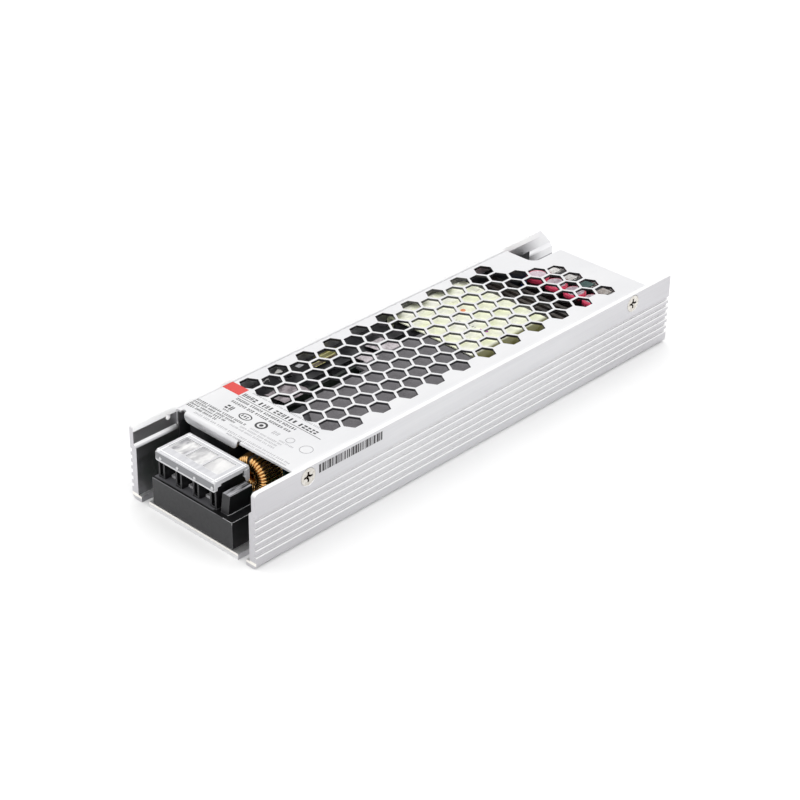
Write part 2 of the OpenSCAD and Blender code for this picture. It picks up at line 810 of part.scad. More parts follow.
// A boxed film capacitor standing on the board, with a filled, slightly sunk underside
module boxed_capacitor(low, high, h) {
  inset = [case_wall, case_wall];
  translate([0, 0, top_z]) difference() {
    linear_extrude(h) round_rect(low, high, case_r);
    translate([0, 0, -1]) linear_extrude(case_sink + 1) round_rect(low + inset, high - inset, eps);
  }
}

module filter_capacitor() {
  color("#9a9c98") boxed_capacitor([filter_x[0], filter_y[0]], [filter_x[1], filter_y[1]], filter_h);
}

module inlet_fuse() {
  color("#2b2422") translate([-10.5, front_y + 33, top_z])
    rotate_extrude() polygon([[0, 0], [4.1, 0], [4.1, 7.2], [3.7, 7.7], [0, 7.7]]);
}

// A coated disc part standing on its two leads, with its flat side along X
module disc_part(at, r, t, lead_x) {
  mid = r + disc_lift;
  translate([at[0], at[1], top_z]) {
    translate([0, t / 2, mid]) rotate([90, 0, 0]) rotate_extrude()
      polygon([[0, 0], [r - disc_bevel, 0], [r, disc_bevel], [r, t - disc_bevel], [r - disc_bevel, t],
        [0, t]]);
    for (s = [-1, 1]) translate([s * lead_x, 0, 0]) cylinder(r = lead_r, h = mid);
  }
}

module surge_varistor() {
  color("#3f6fb0") disc_part([1.6, front_y + 33.4], 5, 4, 3.6);
}

module inrush_thermistor() {
  color("#2e4a36") disc_part([12.8, front_y + 36], 5.2, 4.4, 3.7);
}

module line_capacitors() {
  color("#4d8fc4") for (y = [front_y + 28.6, front_y + 39]) disc_part([5.4, y], 3.2, 2.6, 2.2);
}

// Heat bar along the left wall, and what is clamped to it

module heat_bar() {
  color("#b9bcc0") along_y(bar_y[0], bar_y[1]) polygon([[bar_x, top_z], [bar_x + bar_t, top_z],
    [bar_x + bar_t, bar_top - bar_bevel[1]], [bar_x + bar_t - bar_bevel[0], bar_top], [bar_x, bar_top]]);
}

// A flat semiconductor package of size [thickness, width, height], standing off the board on its legs,
// with its back on the face x = 0 and one side at y = 0
module standing_package(size, lift, legs) {
  t = size[0];
  leg_x = t * 0.35;
  leg_t = 0.5;
  leg_w = 0.8;
  translate([0, 0, top_z]) {
    along_y(0, size[1]) polygon([[0, lift], [t * 0.6, lift], [t, lift + 0.6], [t, lift + size[2] - 0.8],
      [t * 0.7, lift + size[2]], [0, lift + size[2]]]);
    for (i = [0:legs - 1])
      translate([leg_x, size[1] * (i + 0.5) / legs - leg_w / 2, 0]) cube([leg_t, leg_w, lift + 1]);
  }
}

module bridge_rectifier() {
  color("#1f1f22") translate([bar_x + bar_t, bar_y[0] + 1, 0])
    standing_package([bridge_t, bridge_w, bridge_h], package_lift, 4);
}

module primary_switches() {
  color("#242428") for (i = [0:package_n - 1])
    translate([bar_x + bar_t, package_y + package_pitch * i, 0])
      standing_package([package_t, package_w, package_h], package_lift, 3);
}

module switch_clamp() {
  x = bar_x + bar_t + package_t;
  length = (package_n - 1) * package_pitch + package_w;
  color("silver") block([x, package_y + clamp_inset, clamp_z[0]],
    [x + clamp_t, package_y + length - clamp_inset, clamp_z[1]]);
}

// Boost inductor, storage capacitors and the pad over them

module boost_inductor_core() {
  // A flat core with a round post, open at both ends for the coil
  room = stack_top - top_z - 2 * boost_yoke;
  color("#38383b") {
    along_y(boost_y[0], boost_y[1]) difference() {
      round_rect([boost_x[0], top_z], [boost_x[1], stack_top], case_r);
      translate([boost_x[0] + boost_side, top_z + boost_yoke])
        square([boost_x[1] - boost_x[0] - 2 * boost_side, room]);
    }
    translate([boost_mid[0], boost_mid[1], top_z + boost_yoke - eps])
      cylinder(d = boost_post_d, h = room + 2 * eps);
  }
}

module boost_inductor_coil() {
  low = [boost_post_d / 2 + boost_coil_gap, boost_coil_gap];
  high = [low[0] + boost_coil_w, stack_top - top_z - 2 * boost_yoke - boost_coil_gap];
  color("peru") translate([boost_mid[0], boost_mid[1], top_z + boost_yoke])
    rotate_extrude() round_rect(low, high, 0.8);
}

// Outline of a can of radius r and length l lying along its axis: a rolled neck at the sealed end and a
// rim round the flat end
function can_outline(r, l) = [[0, 0], [r - 1, 0], [r, 1], [r, 2.6], [r - 0.5, 3.1], [r, 3.6], [r, l - 0.8],
  [r - 0.8, l], [r - 1.2, l], [r - 1.5, l - 0.4], [0, l - 0.4]];

module bulk_capacitors() {
  step = bulk_d + bulk_gap;
  color("#1b1b1f") for (s = [-1, 1])
    translate([bulk_mid + s * step / 2, bulk_y, top_z + bulk_d / 2]) rotate([-90, 0, 0])
      rotate_extrude() polygon(can_outline(bulk_d / 2, bulk_l));
}

module gap_pad() {
  // A cut sheet, wider over the capacitors and with a slanted front left corner
  y0 = boost_y[0] + pad_inset;
  y1 = bulk_y + bulk_l + pad_over;
  color("#55565a") translate([0, 0, stack_top]) linear_extrude(pad_t)
    polygon([[pad_x[0] + pad_slant[0], y0], [pad_x[1], y0], [pad_x[1], y1], [pad_wide_x, y1],
      [pad_wide_x, bulk_y + pad_over], [pad_x[0], bulk_y + pad_over], [pad_x[0], y0 + pad_slant[1]]]);
}

// Upright control card

module control_board() {
  color("seagreen") along_x(card_x, card_x + card_t)
    round_rect([card_y[0], top_z], [card_y[1], top_z + card_h], 0.8);
}

module control_chips() {
  // Place along the card and above the board, and then length and width of each chip
  color("#222226") for (c = [[4, 3, 6, 4.4], [13, 4, 10, 4.4], [26, 3, 5, 6.4]])
    translate([card_x + card_t, card_y[0] + c[0], top_z + c[1]]) cube([chip_t, c[2], c[3]]);
}

// Transformer: a flat double-E core, the coil on its middle post and an outer sheet of tape

module transformer_core() {
  window_l = core_y[1] - core_y[0] - 2 * core_leg;
  window_w = (core_x[1] - core_x[0] - core_post) / 2 - core_leg;
  color("#303033") translate([0, 0, core_z[0]]) linear_extrude(core_z[1] - core_z[0]) difference() {
    round_rect([core_x[0], core_y[0]], [core_x[1], core_y[1]], 0.8);
    for (x = [core_x[0] + core_leg, core_mid + core_post / 2])
      translate([x, core_y[0] + core_leg]) square([window_w, window_l]);
  }
}

module transformer_coil() {
  inset = core_leg + coil_gap;
  y0 = core_y[0] + inset;
  y1 = core_y[1] - inset;
  post_half = core_post / 2 + fit_gap;
  color("#c8c48a") difference() {
    along_y(y0, y1)
      round_rect([core_x[0] + inset, top_z], [core_x[1] - inset, trafo_top - tape_t], coil_r);
    block([core_mid - post_half, y0 - 1, core_z[0] - fit_gap],
      [core_mid + post_half, y1 + 1, core_z[1] + fit_gap]);
  }
}

module tape_outline(low, high, left_r, right_r) {
  // A rectangle with rounded upper corners
  difference() {
    translate(low) square(high - low);
    translate([low[0], high[1]]) mirror([0, 1]) corner_waste(left_r);
    translate(high) rotate(180) corner_waste(right_r);
  }
}

module transformer_tape() {
  low = [trafo_x, core_z[0] + 1];
  high = [trafo_x + trafo_w, trafo_top];
  color("#e6ecb0") along_y(trafo_y, trafo_y + trafo_l) difference() {
    tape_outline(low, high, tape_left_r, tape_right_r);
    tape_outline(low + [tape_t, -1], high - [tape_t, tape_t], tape_left_r - tape_t, tape_right_r - tape_t);
  }
}

module film_capacitors() {
  x0 = trafo_x + trafo_w + film_gap;
  color("#a8403a") for (y = film_ys)
    boxed_capacitor([x0, y], [x0 + film_size[0], y + film_size[1]], film_size[2]);
}

// Output side

module rectifier_heatsink() {
  // A comb of fins on a thick root, in Y and Z
  room = sink_y[1] - sink_y[0];
  color("#19191b") along_x(-sink_half, sink_half) {
    translate([sink_y[0], top_z]) square([room, sink_root]);
    for (i = [0:fin_n - 1])
      translate([sink_y[0] + i * (room - fin_t) / (fin_n - 1), top_z]) square([fin_t, sink_top - top_z]);
  }
}

module rectifier_switches() {
  color("#222226") for (i = [0:rectifier_n - 1]) {
    x = rectifier_mid + (i - (rectifier_n - 1) / 2) * rectifier_pitch - rectifier_w / 2;
    translate([x, sink_y[0], 0]) rotate(-90)
      standing_package([rectifier_t, rectifier_w, rectifier_h], rectifier_lift, 3);
  }
}

module output_capacitors() {
  r = out_cap_d / 2;
  color("#c9b7bd") for (i = [0:out_cap_n - 1])
    translate([out_cap_mid + (i - (out_cap_n - 1) / 2) * out_cap_pitch, out_cap_y, top_z]) rotate_extrude()
      polygon([[0, 0], [r - 0.5, 0], [r, 0.5], [r, 1.6], [r - 0.35, 2], [r, 2.4], [r, out_cap_h - 0.5],
        [r - 0.5, out_cap_h], [0, out_cap_h]]);
}

module output_rib_side() {
  // One upright rib with a bevelled outer corner, in Y and Z
  polygon([[out_front, out_step - eps], [out_rear, out_step - eps], [out_rear, out_top - out_bevel],
    [out_rear - out_bevel, out_top], [out_front, out_top]]);
}

module output_terminal_block() {
  color("#26262a") difference() {
    union() {
      block([out_x0, out_front, top_z], [out_x1, out_rear, out_step]);
      pole_places(out_poles + 1, out_mid) along_x(-rib_t / 2, rib_t / 2) output_rib_side();
      block([out_x0, out_front, out_step - eps], [out_x1, out_front + out_wall_t, out_top]);
    }
    pole_places(out_poles, out_mid) translate([0, out_screw_y, top_z + term_screw_floor])
      cylinder(r = term_screw_r + fit_gap, h = out_step);
  }
}

module output_terminal_plates() {
  color("silver") pole_places(out_poles, out_mid) mirror([0, 1, 0])
    contact_plate(-out_rear + out_plate_front, -out_front - out_wall_t - fit_gap, -out_screw_y, out_step);
}

module output_terminal_screws() {
  color("lightgray") pole_places(out_poles, out_mid)
    clamp_screw(out_screw_y, out_step, wire_gap, out_washer_tail);
}

module status_led() {
  color("limegreen") translate([led_at[0], led_at[1], top_z]) rotate_extrude() {
    square([led_rim_r, led_rim_h]);
    square([led_r, led_h]);
    intersection() {
      translate([0, led_h]) circle(led_r);
      translate([0, led_h - eps]) square(2 * led_r);
    }
  }
}

module trimmer_body() {
  color("royalblue") translate([trimmer_at[0], trimmer_at[1], top_z]) difference() {
    linear_extrude(trimmer_h) round_rect([-1, -1] * trimmer_w / 2, [1, 1] * trimmer_w / 2, 0.5);
    translate([0, 0, trimmer_h - rotor_depth]) cylinder(r = rotor_r + run_gap, h = rotor_depth + 1);
  }
}

module trimmer_rotor() {
  h = rotor_depth + rotor_stand - rotor_lift;
  color("ivory") translate([trimmer_at[0], trimmer_at[1], top_z + trimmer_h - rotor_depth + rotor_lift])
    difference() {
      cylinder(r = rotor_r, h = h);
      block([-rotor_r - 1, -rotor_slot[0] / 2, h - rotor_slot[1]], [rotor_r + 1, rotor_slot[0] / 2, h + 1]);
    }
}

base_channel();
top_cover();
cover_screws();
insulation_liner();
main_board();
board_pillars();
board_screws();
input_terminal_block();
input_terminal_plates();
input_terminal_screws();
terminal_cover();
line_choke_core();
line_choke_winding();
line_choke_base();
filter_capacitor();
inlet_fuse();
surge_varistor();
inrush_thermistor();
line_capacitors();
bridge_rectifier();
heat_bar();
primary_switches();
switch_clamp();
boost_inductor_core();
boost_inductor_coil();
bulk_capacitors();
gap_pad();
control_board();
control_chips();
transformer_core();
transformer_coil();
transformer_tape();
film_capacitors();
rectifier_heatsink();
rectifier_switches();
output_capacitors();
output_terminal_block();
output_terminal_plates();
output_terminal_screws();
status_led();
trimmer_body();
trimmer_rotor();
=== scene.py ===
"""Looks of a slim switching power supply: surfaces, printed marks, fine parts, light and camera."""
import json
import math
import random

import bmesh
import bpy
from mathutils import Matrix, Vector


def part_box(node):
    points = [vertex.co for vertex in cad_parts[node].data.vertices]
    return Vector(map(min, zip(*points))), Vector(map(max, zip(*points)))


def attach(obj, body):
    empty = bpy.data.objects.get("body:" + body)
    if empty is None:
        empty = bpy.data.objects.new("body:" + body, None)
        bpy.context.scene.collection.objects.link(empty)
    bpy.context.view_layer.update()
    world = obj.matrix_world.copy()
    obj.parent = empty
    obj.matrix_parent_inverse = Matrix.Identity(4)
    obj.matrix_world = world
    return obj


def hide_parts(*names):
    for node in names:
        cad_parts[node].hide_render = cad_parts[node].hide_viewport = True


MM = 0.001
# Numbers of the axes
X, Y, Z = range(3)

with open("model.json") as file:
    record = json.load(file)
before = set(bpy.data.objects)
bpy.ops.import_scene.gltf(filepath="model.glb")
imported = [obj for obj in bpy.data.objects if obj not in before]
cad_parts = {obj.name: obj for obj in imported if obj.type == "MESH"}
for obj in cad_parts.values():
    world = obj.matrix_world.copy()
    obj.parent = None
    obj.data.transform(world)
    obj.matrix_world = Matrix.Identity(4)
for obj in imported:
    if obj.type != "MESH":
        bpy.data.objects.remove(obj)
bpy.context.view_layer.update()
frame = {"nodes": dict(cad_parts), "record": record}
scene = bpy.context.scene
scene.view_settings.view_transform = "Standard"


def node_box(node):
    """Lowest and highest corner of a CAD node, in millimetres."""
    low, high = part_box(node)
    return Vector(low) / MM, Vector(high) / MM


def rgb(r, g, b):
    """A colour given as it looks on a screen, 0 to 255, as linear light."""

    def linear(v):
        v /= 255
        return v / 12.92 if v <= 0.04045 else ((v + 0.055) / 1.055) ** 2.4

    return (linear(r), linear(g), linear(b), 1.0)


class Look:
    """One material: a Principled shader and short ways to give it detail. Lengths are in millimetres."""

    BEVEL_SAMPLES = 4
    # How far two directions agree at an edge and on a flat face
    EDGE_SPAN = (0.8, 0.99)
    # Parts of a noise's range that turn into clouds and into roughness
    CLOUD_SPAN = (0.35, 0.7)
    CLOUD_DETAIL = 4
    ROUGH_SPAN = (0.3, 0.7)

    def __init__(self, name, colour, roughness, metallic=0.0):
        self.material = bpy.data.materials.new(name)
        self.material.use_nodes = True
        self.tree = self.material.node_tree
        self.shader = self.tree.nodes["Principled BSDF"]
        self.colour = colour
        self.normal = None
        self.set("Base Color", colour)
        self.set("Roughness", roughness)
        self.set("Metallic", metallic)

    def feed(self, socket, value):
        """Links an output to a socket, or sets the socket to a value."""
        if isinstance(value, bpy.types.NodeSocket):
            self.tree.links.new(value, socket)
        else:
            socket.default_value = value

    def set(self, socket, value):
        """Sets or links one of the shader's sockets."""
        self.feed(self.shader.inputs[socket], value)
        return self

    def node(self, kind, inputs, **settings):
        """Adds a node with its settings and inputs."""
        made = self.tree.nodes.new("ShaderNode" + kind)
        for name, value in settings.items():
            setattr(made, name, value)
        for key, value in inputs.items():
            self.feed(made.inputs[key], value)
        return made

    def place(self, size):
        """The object's own coordinates, counted in steps of size along X, Y and Z."""
        steps = size if isinstance(size, tuple) else (size, size, size)
        coords = self.node("TexCoord", {}).outputs["Object"]
        scale = [1 / (MM * step) for step in steps]
        return self.node("Mapping", {"Vector": coords, "Scale": scale}).outputs["Vector"]

    def axis(self, index):
        """One of the object's own coordinates, in millimetres."""
        return self.node("SeparateXYZ", {0: self.place(1)}).outputs[index]

    def facing(self, index):
        """How far the surface faces along one of the object's own axes, from -1 to 1."""
        normal = self.node("TexCoord", {}).outputs["Normal"]
        return self.node("SeparateXYZ", {0: normal}).outputs[index]

    def noise(self, size, detail=2.0, rough=0.5):
        """Cloudy noise around a half, with clouds of about that size."""
        inputs = {"Vector": self.place(size), "Scale": 1.0, "Detail": detail, "Roughness": rough}
        return self.node("TexNoise", inputs).outputs["Fac"]

    def cells(self, size):
        """A random value for each cell of about that size."""
        inputs = {"Vector": self.place(size), "Scale": 1.0}
        return self.node("TexVoronoi", inputs).outputs["Color"]

    def spread(self, value, low, high, to_low=0.0, to_high=1.0):
        """Maps a value between low and high to the range from to_low to to_high."""
        inputs = {"Value": value, "From Min": low, "From Max": high, "To Min": to_low, "To Max": to_high}
        return self.node("MapRange", inputs).outputs["Result"]

    def above(self, value, edge, soft=0.1):
        """A mask that turns from 0 to 1 where a value passes an edge."""
        return self.spread(value, edge - soft, edge + soft)

    def below(self, value, edge, soft=0.1):
        """A mask that turns from 1 to 0 where a value passes an edge."""
        return self.spread(value, edge - soft, edge + soft, 1.0, 0.0)

    def inside(self, index, low, high, soft=0.1):
        """A mask that is 1 between two places along an axis."""
        value = self.axis(index)
        return self.both(self.above(value, low, soft), self.below(value, high, soft))

    def size_of(self, value):
        """A value without its sign."""
        return self.node("Math", {0: value}, operation="ABSOLUTE").outputs[0]

    def both(self, a, b):
        """The product of two values."""
        return self.node("Math", {0: a, 1: b}, operation="MULTIPLY").outputs[0]

    def either(self, a, b):
        """The larger of two values."""
        return self.node("Math", {0: a, 1: b}, operation="MAXIMUM").outputs[0]

    def bevel(self, radius):
        """The way that the surface faces, as if its edges were rounded."""
        return self.node("Bevel", {"Radius": radius * MM}, samples=self.BEVEL_SAMPLES).outputs["Normal"]

    def edges(self, radius):
        """A mask that is 1 along sharp edges and 0 on flat faces."""
        normal = self.node("NewGeometry", {}).outputs["Normal"]
        pair = {0: self.bevel(radius), 1: normal}
        same = self.node("VectorMath", pair, operation="DOT_PRODUCT").outputs["Value"]
        return self.spread(same, *self.EDGE_SPAN, 1.0, 0.0)

    def tint(self, amount, colour):
        """Turns the colour towards another one by amount, a number or an output from 0 to 1."""
        mix = self.node("Mix", {0: amount, 6: self.colour, 7: colour}, data_type="RGBA")
        self.colour = mix.outputs[2]
        return self.set("Base Color", self.colour)

    def mottle(self, size, colour, amount=1.0):
        """Turns the colour towards another one in soft clouds."""
        clouds = self.noise(size, self.CLOUD_DETAIL)
        return self.tint(self.spread(clouds, *self.CLOUD_SPAN, 0.0, amount), colour)

    def rough(self, value, low, high):
        """Varies the roughness by a noise."""
        return self.set("Roughness", self.spread(value, *self.ROUGH_SPAN, low, high))

    def bump(self, height, depth):
        """Raises the surface by a height from 0 to 1, times depth."""
        inputs = {"Height": height, "Distance": depth * MM, "Strength": 1.0}
        if self.normal:
            inputs["Normal"] = self.normal
        self.normal = self.node("Bump", inputs).outputs["Normal"]
        return self.set("Normal", self.normal)

    def soft_edges(self, radius):
        """Lets edges catch the light as if they were slightly rounded."""
        self.normal = self.bevel(radius)
        return self.set("Normal", self.normal)


# Places on the CAD model that the looks and the pieces refer to, in millimetres

COVER_TOP = node_box("top_cover")[1].z
# Left edge of the liner's flap, at the wall that the heat bar lies against, and the flap's top
FLAP_X = node_box("heat_bar")[0].x
FLAP_Z = node_box("insulation_liner")[1].z
# Case: where painted shade darkens it towards the ends, then places close to its floor, ledges and walls
CASE_SHADE_Y = (40, 97)
FLOOR_LIP_Z = 1.2
FLOOR_TOP_Z = 2.3
FLOOR_HALF_W = 22.0
LEFT_WALL_X = (-26.0, -20.0)
LEDGE_Z = 19.0
COVER_SIDE_Z = 23.9
WALL_FACE_X = 26.9
SCREW_RECESS_X = 26.95
REAR_BAY_Y = 87.0
REAR_WALL_Z = 16.0
# Cover: the vent holes' range and a height just under the sheet
VENT_Y = (-57.5, 79.5)
COVER_UNDER_Z = 24.5
# Input terminal: its ribs, step, tower and right corner
INPUT_END_Y = -80
RIBS_Y = -95.6
RIBS_Z = 11.2
RIBS_END_X = 10.0
STEP_Y = (-95.8, -88.0)
STEP_Z = (10.9, 11.9)
STEP_END_X = 8.0
TOWER_X = 9.9
TOWER_Z = 13.0
CORNER_X = 13.0
CORNER_Z = (10.6, 11.6)
# Clear cover: its pane, the shade on it, the rims around it with their painted highlight, as axis and range,
# and its front band with its painted shade
LID_PANE_Z = 21.58
LID_SHADE_X = (-13, 4)
LID_RIMS = ((X, -15.5, -15.2), (X, 8.4, 8.7), (Y, -95.6, -95.3), (Y, -83.9, -83.6))
LID_BAND_Z = (18.85, 21.2)
LID_BEAD_Y = -96.5
# Transformer's tape: where its right shoulder and the painted shade on it begin
TAPE_SHOULDER_X = 13.2
# Output capacitors: the first one, the step to the next, the bare top and the shaded foot
CAN_X = -13.4
CAN_Y = 75.8
CAN_PITCH = 8.3
CAN_TOP_R = 3.25
CAN_SHADE_Z = 17.3


# Looks of the CAD nodes: one function for each material slot of the record, and a few for single nodes


def anodised_aluminium():
    """The finned channel: drawn metal with a cream front end to its floor, painted shade towards its ends,
    on the inner left wall and low on its front, and painted light on faces that look up, on the upper side
    faces and on the rear inner wall; the low front, the upper side faces and the rear inner wall are also
    less metallic.
    """
    look = Look("anodised_aluminium", rgb(215, 215, 217), 0.42, 1.0).soft_edges(0.2)
    look.mottle((9, 60, 5), rgb(206, 206, 209), 0.8)
    # Painted shade: the channel turns darker grey towards both ends.
    look.tint(look.spread(look.size_of(look.axis(Y)), *CASE_SHADE_Y), rgb(200, 199, 202))
    # Painted highlight: faces that look up, such as the fins' lips and the walls' tops, turn near white.
    look.tint(look.above(look.facing(Z), 0.4, 0.25), rgb(250, 250, 250))
    # Painted shade: the inner face of the left wall below the ledge turns darker grey.
    inner = look.both(look.above(look.facing(X), 0.6), look.inside(X, *LEFT_WALL_X))
    look.tint(look.both(inner, look.below(look.axis(Z), LEDGE_Z, 0.3)), rgb(150, 150, 153))
    end = look.both(look.below(look.facing(Y), -0.6), look.inside(Z, FLOOR_LIP_Z, FLOOR_TOP_Z, 0.2))
    look.tint(end, rgb(252, 249, 243))
    # Painted light: faces that look sideways near the top of the walls, inside the outer faces, turn near
    # white.
    beside = look.both(look.above(look.size_of(look.facing(X)), 0.6), look.above(look.axis(Z), COVER_SIDE_Z))
    beside = look.both(beside, look.below(look.size_of(look.axis(X)), WALL_FACE_X))
    look.tint(beside, rgb(252, 252, 252))
    # Painted shade: the low front edge of the floor turns grey, like the shadow on the floor around it.
    foot = look.both(look.below(look.facing(Y), -0.6), look.below(look.axis(Z), FLOOR_LIP_Z, 0.2))
    foot = look.both(foot, look.below(look.size_of(look.axis(X)), FLOOR_HALF_W))
    look.tint(foot, rgb(206, 206, 207))
    # Painted reflection: the inner left wall at the rear, high up, turns light grey.
    rear = look.both(look.above(look.facing(X), 0.4), look.above(look.axis(Y), REAR_BAY_Y, 4.0))
    rear = look.both(rear, look.above(look.axis(Z), REAR_WALL_Z))
    rear = look.both(rear, look.below(look.axis(X), LEFT_WALL_X[1]))
    look.tint(rear, rgb(232, 232, 234))
    # The painted places beside, low and at the rear are also made less metallic.
    dull = look.either(look.either(beside, foot), look.both(rear, 0.6))
    look.set("Metallic", look.spread(dull, 0.0, 1.0, 1.0, 0.1))
    look.rough(look.noise((0.6, 40, 0.6), 3), 0.36, 0.52)
    look.bump(look.noise((0.22, 50, 0.22), 3), 0.0035)
    return look.bump(look.noise(0.12, 1), 0.0015)


def cover_sheet():
    """The cover's sheet, with painted shade on the walls of its vent holes."""
    look = Look("cover_sheet", rgb(238, 238, 239), 0.45, 1.0).soft_edges(0.06)
    look.mottle((14, 26, 14), rgb(231, 231, 233), 0.8)
    # Painted shade: faces that don't look up, high in the sheet within the vents' range, turn dark grey.
    hole_shade = look.both(look.below(look.facing(Z), 0.5, 0.1), look.inside(Y, *VENT_Y))
    look.tint(look.both(hole_shade, look.above(look.axis(Z), COVER_UNDER_Z, 0.1)), rgb(92, 92, 95))
    look.rough(look.noise((1.2, 6, 1.2), 3), 0.4, 0.55)
    return look.bump(look.noise(0.14, 2), 0.002)


def cover_screw_steel():
    """The cover's screws, with painted shade in their recesses."""
    look = Look("cover_screw_steel", rgb(222, 219, 213), 0.3, 1.0).soft_edges(0.1)
    look.mottle(0.9, rgb(186, 180, 170), 0.8)
    # Painted shade: the cross recesses, deeper than the head's face, turn dark brown.
    look.tint(look.below(look.size_of(look.axis(X)), SCREW_RECESS_X, 0.25), rgb(58, 44, 30))
    look.rough(look.noise(0.5, 3), 0.22, 0.4)
    return look.bump(look.noise(0.3, 2), 0.004)


def nickel_steel():
    look = Look("nickel_steel", rgb(196, 195, 192), 0.25, 1.0).soft_edges(0.12)
    look.mottle(1.5, rgb(150, 149, 146), 0.7)
    look.rough(look.noise(0.7, 3), 0.2, 0.38)
    return look.bump(look.noise((0.3, 0.1, 0.3), 2), 0.004)


def black_film():
    look = Look("black_film", rgb(34, 34, 37), 0.4)
    look.mottle(6, rgb(48, 48, 51))
    look.rough(look.noise(3, 3), 0.28, 0.45)
    return look.bump(look.noise((9, 14, 9), 2), 0.12)


def board_tracks(look):
    """A mask of the tracks under a board's lacquer."""
    return look.spread(look.noise((0.8, 4, 4), 0), 0.5, 0.53)


def circuit_board():
    look = Look("circuit_board", rgb(24, 92, 58), 0.32)
    tracks = board_tracks(look)
    look.tint(look.both(tracks, 0.55), rgb(52, 128, 82))
    look.tint(look.spread(look.cells(1.4), 0.9, 0.92), rgb(196, 190, 176))
    look.rough(look.noise(2, 3), 0.25, 0.42)
    return look.bump(tracks, 0.03)


def dark_board():
    look = Look("dark_board", rgb(34, 39, 36), 0.35)
    tracks = board_tracks(look)
    look.tint(look.both(tracks, 0.6), rgb(52, 60, 54))
    look.tint(look.spread(look.cells(1.4), 0.92, 0.94), rgb(150, 146, 136))
    look.rough(look.noise(2, 3), 0.28, 0.45)
    return look.bump(tracks, 0.03)


def terminal_plastic():
    """The terminal blocks: black, with painted light on front faces, rib fronts and the step's top, wear and
    painted highlights along edges, a painted edge highlight at the right corner, and pale streaks on the
    tower's top on the input side.
    """
    look = Look("terminal_plastic", rgb(12, 12, 14), 0.36).soft_edges(0.12)
    look.set("Specular IOR Level", 0.36)
    look.mottle(4, rgb(17, 17, 19))
    front = look.below(look.facing(Y), -0.6)
    # Painted light: faces that look to the front are lighter.
    look.tint(front, rgb(35, 35, 37))
    # Wear and painted highlight: edges turn grey in patches.
    wear_and_highlight = look.spread(look.noise(2), 0.3, 0.7, 0.4, 1.0)
    look.tint(look.both(look.edges(0.16), wear_and_highlight), rgb(132, 132, 135))
    # Painted light: the fronts of the ribs above the step are lighter grey.
    ribs = look.both(look.above(look.axis(Z), RIBS_Z), look.below(look.axis(Y), RIBS_Y))
    ribs = look.both(ribs, look.below(look.axis(X), RIBS_END_X))
    look.tint(look.both(front, ribs), rgb(112, 112, 115))
    up = look.above(look.facing(Z), 0.5)
    input_side = look.below(look.axis(Y), INPUT_END_Y)
    tower = look.both(look.above(look.axis(X), TOWER_X), look.above(look.axis(Z), TOWER_Z))
    streaks = look.spread(look.noise((0.5, 6, 6), 3), 0.38, 0.62)
    look.tint(look.both(look.both(up, input_side), look.both(tower, streaks)), rgb(176, 176, 180))
    # Painted light: the step's top is lighter grey.
    step = look.both(look.inside(Z, *STEP_Z), look.inside(Y, *STEP_Y))
    step = look.both(step, look.below(look.axis(X), STEP_END_X))
    look.tint(look.both(up, step), rgb(92, 92, 95))
    # Painted highlight: the edges at the right corner turn pale grey on the input side.
    corner = look.both(look.above(look.axis(X), CORNER_X), look.inside(Z, *CORNER_Z))
    rim = look.both(look.edges(0.35), corner)
    look.tint(look.both(rim, input_side), rgb(206, 206, 208))
    look.rough(look.noise(0.9, 3), 0.32, 0.46)
    return look.bump(look.noise(0.16, 2), 0.006)


def terminal_plate_steel():
    look = Look("terminal_plate_steel", rgb(214, 214, 216), 0.4, 0.25).soft_edges(0.1)
    look.mottle(1.5, rgb(176, 176, 178), 0.8)
    look.rough(look.noise(0.7, 3), 0.34, 0.5)
    return look.bump(look.noise((0.3, 0.1, 0.3), 2), 0.004)


def bright_nickel():
    look = Look("bright_nickel", rgb(240, 239, 237), 0.2, 0.5).soft_edges(0.12)
    look.mottle(1.5, rgb(206, 203, 198), 0.7)
    look.rough(look.noise(0.7, 3), 0.16, 0.32)
    return look.bump(look.noise((0.3, 0.1, 0.3), 2), 0.006)


def clear_plastic():
    """The terminal's clear cover: a clouded pane with painted highlights on its rims and edges, and painted
    shade on its grey front band.
    """
    look = Look("clear_plastic", rgb(203, 203, 206), 0.14).soft_edges(0.15)
    look.set("IOR", 1.49)
    look.mottle((1.6, 6, 2), rgb(186, 186, 190))
    up = look.above(look.facing(Z), 0.7)
    pane = look.both(up, look.below(look.axis(Z), LID_PANE_Z, 0.06))
    look.tint(pane, rgb(240, 239, 238))
    shade = look.spread(look.noise((2.6, 5, 3), 2), 0.38, 0.6)
    left = look.spread(look.axis(X), *LID_SHADE_X, 1.0, 0.25)
    look.tint(look.both(pane, look.both(shade, left)), rgb(158, 157, 161))
    # Painted highlight: thin rims around the pane turn near white.
    rims = 0.0
    for index, low, high in LID_RIMS:
        rims = look.either(rims, look.inside(index, low, high, 0.05))
    look.tint(look.both(up, rims), rgb(250, 250, 250))
    # Painted shade: the front band above the bead turns grey.
    front = look.below(look.facing(Y), -0.7)
    band = look.both(front, look.inside(Z, *LID_BAND_Z))
    look.tint(look.both(band, look.above(look.axis(Y), LID_BEAD_Y, 0.03)), rgb(122, 123, 126))
    # Painted highlight: edges turn near white.
    look.tint(look.edges(0.3), rgb(252, 252, 252))
    look.set("Transmission Weight", look.spread(pane, 0.0, 1.0, 0.12, 0.25))
    look.rough(look.noise(1.6, 3), 0.1, 0.22)
    return look.bump(look.noise((2.6, 3.4, 2), 2), 0.02)


def ferrite():
    look = Look("ferrite", rgb(62, 62, 65), 0.6)
    look.mottle(0.5, rgb(82, 82, 86))
    look.rough(look.noise(0.5, 3), 0.45, 0.7)
    return look.bump(look.noise(0.25, 3), 0.02)


